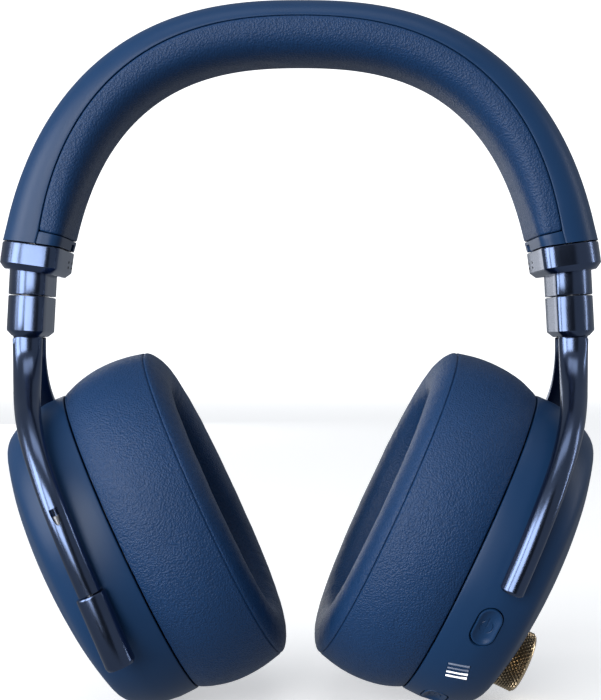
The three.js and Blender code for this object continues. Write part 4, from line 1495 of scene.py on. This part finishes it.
@dataclass
class EarPad:
    """One ear pad: a leather ring with a sewn seam round its face, filled by simulation.

    Its section runs round the wall, the seam's groove, the roll towards the ear and the lining, as
    points [distance out along X, half height there] at the middle of the wedge.
    """

    cup: Cup
    wedge: float = 0.1
    hole_height: float = 31.0
    hole_depth: float = 23.0
    around: int = 150
    seam: float = -25.3
    seam_half: float = 0.35
    seam_reach: float = 40.0
    held_from: float = -2.0
    lining_reach: float = 33.0
    lining_held: float = -22.0
    lining_height: float = 38.0
    lining_depth: float = 30.0
    lining_edge: float = -21.8
    wall: tuple[Pair, ...] = (
        (-1.3, 37.0), (-1.3, 41.0), (-1.3, 44.6), (-0.9, 45.15), (-0.3, 45.2), (-0.05, 45.45),
        (-0.3, 45.75), (-1.2, 46.15), (-2.6, 46.75), (-4.6, 47.45), (-7.6, 48.2), (-11.5, 48.7),
        (-15.5, 48.75), (-19.0, 48.45), (-21.8, 47.95), (-23.6, 47.5), (-24.6, 47.3), (-25.05, 47.15))
    groove: tuple[Pair, ...] = ((-25.2, 46.85), (-25.3, 46.6), (-25.42, 46.8))
    roll: tuple[Pair, ...] = (
        (-25.6, 47.0), (-26.2, 46.7), (-27.0, 45.9), (-27.9, 44.5), (-28.7, 42.7), (-29.2, 40.6),
        (-29.35, 38.6), (-29.1, 36.7), (-28.5, 35.1), (-27.5, 33.9), (-26.0, 33.0), (-23.5, 32.3))
    lining: tuple[Pair, ...] = ((-20.0, 31.8), (-14.0, 31.5), (-8.0, 31.3), (-3.0, 31.2), (-1.3, 31.6))

    def ring(self, x: float, height: float) -> Ring:
        """Return one ring of the pad: outside it follows the housing's oval, inside the ear's."""
        inside = min(1.0, max(0.0, (40.0 - height) / 6.0))
        outer = height - (self.cup.half_height - self.cup.half_depth)
        inner = height - self.hole_height + self.hole_depth
        ring = self.cup.ring(x, height, mix(outer, inner, inside), self.around)
        for point in ring:
            point.x *= self.stretch(point.y)
        return ring

    def stretch(self, y: float | np.ndarray) -> float | np.ndarray:
        """Return how much deeper than its middle the wedge shaped pad is at a place on Y."""
        return 1 + self.cup.side.back * self.wedge * y / self.cup.half_depth

    def sewn(self, places: np.ndarray) -> np.ndarray:
        """Say which places, in metres, lie at the housing, in the seam's groove or on the inner lining."""
        back = LAYOUT.cup(self.cup.side).inverted()
        turn = np.array(back.to_3x3())
        local = (places / MM) @ turn.T + np.array(back.translation)
        flat = local[:, 0] / self.stretch(local[:, 1])
        ratio = self.cup.half_depth / self.cup.half_height
        reach = np.hypot(local[:, 2], local[:, 1] / ratio)
        in_groove = (np.abs(flat - self.seam) < self.seam_half) & (reach > self.seam_reach)
        on_lining = (reach < self.lining_reach) & (flat > self.lining_held)
        return (flat > self.held_from) | in_groove | on_lining

    def creases(self, piece: Thing) -> None:
        """Add faint gathers where the leather turns into the hole and beside the seam."""
        back = LAYOUT.cup(self.cup.side).inverted()
        seed = Vector((3.7 * self.cup.side.back, 1.3, 8.1))
        for vertex, normal in zip(piece.data.vertices, [v.normal.copy() for v in piece.data.vertices]):
            local = back @ (vertex.co / MM)
            flat = local.x / self.stretch(local.y)
            if flat > -4:
                continue
            angle = math.atan2(local.y, local.z)
            around = Vector((math.cos(angle), math.sin(angle), 0)) * 11
            gather = noise.noise(around + seed) + 0.5 * noise.noise(around * 2.3 + seed)
            hole = math.exp(-((math.hypot(local.z, local.y * 1.25) - 35.5) / 3.0) ** 2) * (flat < -24)
            beside = math.exp(-((flat - self.seam + 2.4) / 1.8) ** 2)
            soft = noise.noise(local / 9 + seed)
            vertex.co += normal * MM * (0.16 * gather * max(hole, 0.6 * beside) + 0.1 * soft)

    def build(self) -> None:
        """Build, fill, crease and dress the pad."""
        s = self.cup.side.value
        section = [*self.wall, *self.groove, *self.roll, *self.lining]
        rings = [self.ring(x, h) for x, h in section]
        piece = move(skin(f"leather_ear_pad_{s}", rings, Ends.JOINED), LAYOUT.cup(self.cup.side))
        Upholstery(pressure=4.0, limit=0.9).fill(piece, self.sewn)
        self.creases(piece)
        fit(piece, f"cup_{s}", "leather", NAVY_LEATHER, f"ear_pad_{s}")
        piece.data.materials.append(LINING_CLOTH.material())
        back, power = LAYOUT.cup(self.cup.side).inverted(), self.cup.power
        for polygon in piece.data.polygons:
            local = back @ (polygon.center / MM)
            flat = local.x / self.stretch(local.y)
            reach = (abs(local.z) / self.lining_height) ** power + (abs(local.y) / self.lining_depth) ** power
            polygon.material_index = int(reach < 1 and flat > self.lining_edge)


# ---------------------------------------------------------------- controls


@dataclass
class Controls:
    """What the right cup carries: knob, two buttons, four light bars and the charging socket."""

    cup: Cup
    knob_z: float = -25.4
    knob_radius: float = 9.0
    knob_face: float = 29.8
    knob_skirt: float = 20.6
    shaft: float = 2.5
    shaft_end: float = 16.0
    knurls: int = 42
    knurl_depth: float = 0.55
    button_half_length: float = 5.5
    button_half_width: float = 3.25
    button_thick: float = 2.6
    button_curve: float = 42.0
    spots: tuple[tuple[str, float, float], ...] = (
        ("power_button", 10.6, -107.5), ("mode_button", 8.4, -155.0))
    light_x: float = 9.4
    light_angle: float = -129.2
    light_turn: float = 12.0
    light_pitch: float = 1.6
    light_length: float = 5.7
    light_width: float = 0.55
    socket_x: float = 10.6
    socket_angle: float = 166.0
    socket_half_length: float = 4.5
    socket_half_width: float = 1.6

    def knob_frame(self) -> Matrix:
        """Return the knob's frame in the cup's frame, its Z out along the cup's axis."""
        return Matrix.Translation((0, 0, self.knob_z)) @ Matrix.Rotation(math.pi / 2, 4, "Y")

    def outline(self, drawn: float, z: float, curve: float = 1.0) -> Ring:
        """Return a button's outline, drawn in and bent to the wall.

        Args:
            drawn: How far it is drawn in.
            z: Its height over the wall.
            curve: Share of the wall's curve that it follows.

        Returns:
            The ring, its long side on Y.
        """
        radius = self.button_half_width - drawn
        straight = self.button_half_length - self.button_half_width
        bend = curve / 2 / self.button_curve
        return [Vector((x, y, z - bend * y * y)) for x, y in stadium(radius, straight, 16)]

    def pocket(self, x: float, degrees: float) -> Thing:
        """Return the tool that clears a button's pocket, with a softly flared mouth."""
        mouth = [self.outline(drawn, z) for drawn, z in ((-0.3, -0.42), (-0.38, -0.2), (-0.62, 0.08))]
        rings = [self.outline(-0.3, -6.6, 0.0), *mouth, self.outline(-0.9, 3.5, 0.0)]
        return move(skin("pocket", rings), self.cup.wall_place(x, degrees))

    def button(self, name: str, x: float, degrees: float) -> Thing:
        """Build a dished button with an engraved ring and dash."""
        back = -self.button_thick
        rings = [self.outline(0.2, back, 0.0), self.outline(0.0, back + 0.2, 0.0)]
        for drawn, z in ((0.0, -0.5), (0.03, -0.2), (0.12, -0.06), (0.3, -0.02), (0.5, -0.08), (0.8, -0.26),
                         (1.2, -0.5), (1.7, -0.72), (2.3, -0.86), (3.0, -0.92)):
            rings.append(self.outline(drawn, z))
        piece = skin(f"{name}_cap", rings)
        circle = torus("circle", 1.75, 0.24, Matrix.Translation((0, 0, -0.74)))
        dash = block("dash", (-0.22, -0.2, -1.1), (0.22, 2.6, 0.3), 0.06)
        carve(piece, [circle, dash])
        move(piece, self.cup.wall_place(x, degrees))
        return smooth(move(piece, LAYOUT.cup(self.cup.side)), 34)

    def bar(self, number: int, grow: float, low: float, high: float, bevel: float) -> Thing:
        """Return one light bar, or the slot for it.

        Args:
            number: 0 to 3 along the cup.
            grow: How much larger it is on each side.
            low: Its lowest height over the wall.
            high: Its highest height over the wall.
            bevel: Radius of its edges.

        Returns:
            The bar in the cup's frame.
        """
        middle = (number - 1.5) * self.light_pitch
        half = (self.light_length / 2 + grow, self.light_width / 2 + grow)
        bar = block("bar", (-half[0], middle - half[1], low), (half[0], middle + half[1], high), bevel)
        return move(bar, self.cup.wall_place(self.light_x, self.light_angle, self.light_turn))

    def light_base(self) -> Thing:
        """Build the guide behind the wall that the four bars stand on."""
        half = self.light_length / 2 + 0.6
        base = block("light_guide_base", (-half, -2.9, -4.2), (half, 2.9, -3.0), 0.25)
        move(base, self.cup.wall_place(self.light_x, self.light_angle, self.light_turn))
        return smooth(move(base, LAYOUT.cup(self.cup.side)))

    def socket_tool(self, grow: float, low: float, high: float, name: str) -> Thing:
        """Return a rounded slot shape at the charging socket."""
        radius = self.socket_half_width + grow
        oval = stadium(radius, self.socket_half_length - self.socket_half_width, 12)
        rings = [[Vector((x, y, z)) for x, y in oval] for z in (low, high)]
        return move(skin(name, rings), self.cup.wall_place(self.socket_x, self.socket_angle))

    def socket_tongue(self) -> Thing:
        """Build the contact tongue inside the charging socket."""
        tongue = block("usb_tongue", (-0.35, -3.3, -5.9), (0.35, 3.3, -1.4), 0.12)
        move(tongue, self.cup.wall_place(self.socket_x, self.socket_angle))
        return smooth(move(tongue, LAYOUT.cup(self.cup.side)))

    def knob(self) -> Thing:
        """Build the diamond knurled knob and mark its grooves' depth for the finish's painted shade."""
        radius, face, skirt = self.knob_radius, self.knob_face, self.knob_skirt
        steps, rows = self.knurls * 8, 44
        low, high = skirt + 0.8, face - 0.75
        base = ((self.shaft, self.shaft_end), (self.shaft, skirt), (radius - 0.8, skirt),
                (radius - 0.45, skirt + 0.15), (radius - 0.42, low - 0.05))
        rings = [circle(r, z, steps) for r, z in base]
        pitch = math.tau * radius / self.knurls
        for row in range(rows + 1):
            z = mix(low, high, row / rows)
            ring = []
            for i in range(steps):
                around = i / 8
                up = (z - low) / pitch
                first = abs((around + up) % 1 - 0.5) * 2
                second = abs((around - up) % 1 - 0.5) * 2
                cut = max(0.0, 1 - min(first, second) / 0.9)
                r = radius - self.knurl_depth * cut
                angle = math.tau * i / steps
                ring.append(Vector((r * math.cos(angle), r * math.sin(angle), z)))
            rings.append(ring)
        for r, z in ((radius - 0.42, high + 0.05), (radius - 0.45, face - 0.5), (radius - 0.6, face - 0.2),
                     (radius - 0.95, face - 0.03), (radius - 1.5, face), (radius - 2.0, face - 0.05),
                     (radius - 2.3, face - 0.3), (3.0, face - 0.45), (0.5, face - 0.5)):
            rings.append(circle(r, z, steps))
        piece = skin("knurled_knob", rings)
        # the groove depth drives the painted shade in the brass finish
        grooves = []
        groove = piece.data.attributes.new("groove", "FLOAT", "POINT")
        for vertex in piece.data.vertices:
            x, y, z = vertex.co / MM
            cut = (radius - math.hypot(x, y)) / self.knurl_depth
            grooves.append(min(1.0, max(0.0, cut)) if low - 0.02 <= z <= high + 0.02 else 0.0)
        groove.data.foreach_set("value", grooves)
        move(piece, self.knob_frame())
        return smooth(move(piece, LAYOUT.cup(self.cup.side)), 40)

    def tools(self) -> list[Thing]:
        """Return everything that is cut out of the right housing."""
        well = turned("well", [(self.knob_radius + 0.4, 15.0), (self.knob_radius + 0.4, 26.0),
                               (self.knob_radius + 0.7, 33.0)], 72)
        made = [move(well, self.knob_frame()), self.socket_tool(0.3, -9.0, 4.0, "socket_way")]
        made += [self.pocket(x, degrees) for _, x, degrees in self.spots]
        made += [self.bar(number, 0.16, -3.6, 3.0, 0.0) for number in range(4)]
        return made

    def build(self) -> None:
        """Build and dress the controls."""
        body = "cup_right"
        fit(self.knob(), "volume_knob", "knob_brass", BRASS, "volume_knob")
        for name, x, degrees in self.spots:
            fit(self.button(name, x, degrees), name, "shell_plastic", NAVY_PLASTIC, name)
        fit(self.light_base(), body, "light_guide", MILKY, "light_guide")
        for number in range(4):
            bar = smooth(move(self.bar(number, 0.0, -3.0, 0.06, 0.1), LAYOUT.cup(self.cup.side)))
            bar.name = f"light_bar_{number + 1}"
            fit(bar, body, "light_guide", DIM_BAR if number > 1 else LIT_BAR)
        fit(self.socket_tongue(), body, "dark_plastic", BLACK_PLASTIC)


# ---------------------------------------------------------------- what stays as designed


INNER_FINISHES = {
    "spring_band": SPRING_STEEL, "headband_lead": LEAD_RUBBER, "slider_guide": BLACK_PLASTIC,
    "swivel_pin": SPRING_STEEL, "pivot_pin": SPRING_STEEL, "pad_ring": BLACK_PLASTIC,
    "baffle": BLACK_PLASTIC, "driver_basket": BLACK_PLASTIC, "driver_magnet": NICKEL, "diaphragm": FILM,
    "circuit_board": BOARD, "battery": POUCH_FOIL, "knob_encoder": BLACK_PLASTIC, "mic_rod": SPRING_STEEL,
    "usb_socket": NICKEL,
}


def dress_inner_nodes() -> None:
    """Give every design node that stays its own finish."""
    for name, node in frame["nodes"].items():
        if node.hide_render:
            continue
        finish = next(f for word, f in INNER_FINISHES.items() if name.startswith(word))
        for place in node.material_slots:
            place.material = finish.material()
        if not node.material_slots:
            node.data.materials.append(finish.material())
        LOG.info("%s keeps its design mesh", name)


# ---------------------------------------------------------------- studio


@dataclass(frozen=True)
class Lamp:
    """One soft rectangular lamp: its place and size in metres and its power in watts.

    Its shine is the share of its strength that shows in reflections.
    """

    name: str
    place: tuple[float, float, float]
    size: Pair
    power: float
    shine: float = 1.0
    aim: tuple[float, float, float] = (0, 0, -0.08)

    def hang(self) -> None:
        """Add the lamp to the scene, facing the point that it aims at."""
        data = bpy.data.lights.new(self.name, "AREA")
        data.shape = "RECTANGLE"
        data.size, data.size_y = self.size
        data.energy = self.power
        data.specular_factor = self.shine
        lamp = bpy.data.objects.new(self.name, data)
        lamp.location = self.place
        lamp.rotation_euler = (Vector(self.aim) - Vector(self.place)).to_track_quat("-Z", "Y").to_euler()
        bpy.context.scene.collection.objects.link(lamp)


LAMPS = (
    Lamp("left_strip", (-1.2, -0.1, 0.1), (0.12, 1.0), 2.2),
    Lamp("left_softbox", (-1.1, -0.6, 0.1), (0.6, 1.0), 14, 0.1),
    Lamp("right_strip", (1.2, 0.1, 0.1), (0.12, 1.0), 2.5),
    Lamp("top_softbox", (0, -0.3, 0.9), (0.9, 0.4), 2),
    Lamp("rear_card", (-0.36, 1.3, -0.05), (0.34, 0.8), 1.4),
    Lamp("front_fill", (-0.45, -1.1, 0.1), (0.7, 0.9), 13, 0.04),
)


@dataclass
class Studio:
    """Pale floor, soft lamps and the camera."""

    camera_distance: float = 400.0
    camera_height: float = -79.8
    lens: float = 72.0
    shift: float = -10 / 700
    floor_gap: float = 0.5

    def camera(self) -> None:
        """Set the camera level in front, a little above the cups."""
        data = bpy.data.cameras.new("camera")
        data.lens = self.lens
        data.sensor_width = 36.0
        data.shift_y = self.shift
        data.clip_start = 0.01
        camera = bpy.data.objects.new("camera", data)
        camera.location = (0, -self.camera_distance * MM, self.camera_height * MM)
        camera.rotation_euler = (math.radians(90), 0, 0)
        bpy.context.scene.collection.objects.link(camera)
        bpy.context.scene.camera = camera

    def panel(self, name: str, size: Pair, place: Sequence[float], material: bpy.types.Material,
              unseen: Sequence[str], lean: float = 90.0) -> None:
        """Set up one flat panel round the object.

        Args:
            name: Its name.
            size: Its width and height in metres.
            place: Its middle in metres.
            material: Its material.
            unseen: The kinds of ray that pass through it.
            lean: Its turn up from the floor in degrees.
        """
        turn = (math.radians(lean), 0, 0)
        panel = added(name, bpy.ops.mesh.primitive_plane_add, size=1, location=place, rotation=turn)
        panel.scale = (*size, 1.0)
        apply_place(panel)
        panel.data.materials.append(material)
        for ray in unseen:
            setattr(panel, f"visible_{ray}", False)

    def floor(self) -> None:
        """Lay a wide pale floor just under the cups."""
        shader = Shader("floor_paint")
        cloud = shader.grain(60.0)
        paint = shader.coat(
            Base_Color=shader.blend(cloud, (0.9, 0.9, 0.905), (0.92, 0.92, 0.92)), Roughness=0.8,
            Emission_Color=(1.0, 1.0, 1.0), Emission_Strength=0.45)
        low = CAD_BOX[0].z - self.floor_gap * MM
        self.panel("floor", (8, 8), (0, 0, low), paint, ("diffuse", "glossy"), 0.0)

    def backdrop(self) -> None:
        """Stand a lit white backdrop behind the object."""
        glow = Shader("backdrop_light").coat(
            Base_Color=(0.9, 0.9, 0.9), Roughness=0.8,
            Emission_Color=(1.0, 1.0, 1.0), Emission_Strength=0.95)
        self.panel("backdrop", (2.4, 1.3), (0, 2.4, 0.36), glow, ("glossy",))

    def dark_card(self) -> None:
        """Stand a dark card behind the camera that only shows in polished metal."""
        black = Shader("card_black").coat(Base_Color=(0.01, 0.011, 0.014), Roughness=0.9)
        self.panel("dark_card", (1.3, 1.5), (0, -1.3, 0), black, ("camera", "shadow", "diffuse"))

    def build(self) -> None:
        """Set up everything that isn't the object."""
        scene = bpy.context.scene
        scene.view_settings.view_transform = "Standard"
        world = bpy.data.worlds.new("studio")
        world.use_nodes = True
        background = world.node_tree.nodes["Background"]
        background.inputs["Color"].default_value = (0.84, 0.91, 1.0, 1)
        background.inputs["Strength"].default_value = 0.3
        scene.world = world
        self.camera()
        self.floor()
        self.backdrop()
        self.dark_card()
        for lamp in LAMPS:
            lamp.hang()
        LOG.info("studio is set")


def main() -> None:
    """Build the headphones round the design, then the studio."""
    logging.basicConfig(level=logging.INFO, format="%(message)s")
    Studio().build()
    band = Headband()
    band.build()
    cups = {side: Cup(side) for side in Side}
    controls = Controls(cups[Side.RIGHT])
    for side, cup in cups.items():
        Arm(side, band).build()
        Fork(side).build()
        cup.build(controls.tools() if side is Side.RIGHT else ())
        EarPad(cup).build()
    controls.build()
    dress_inner_nodes()


if __name__ == "__main__":
    main()
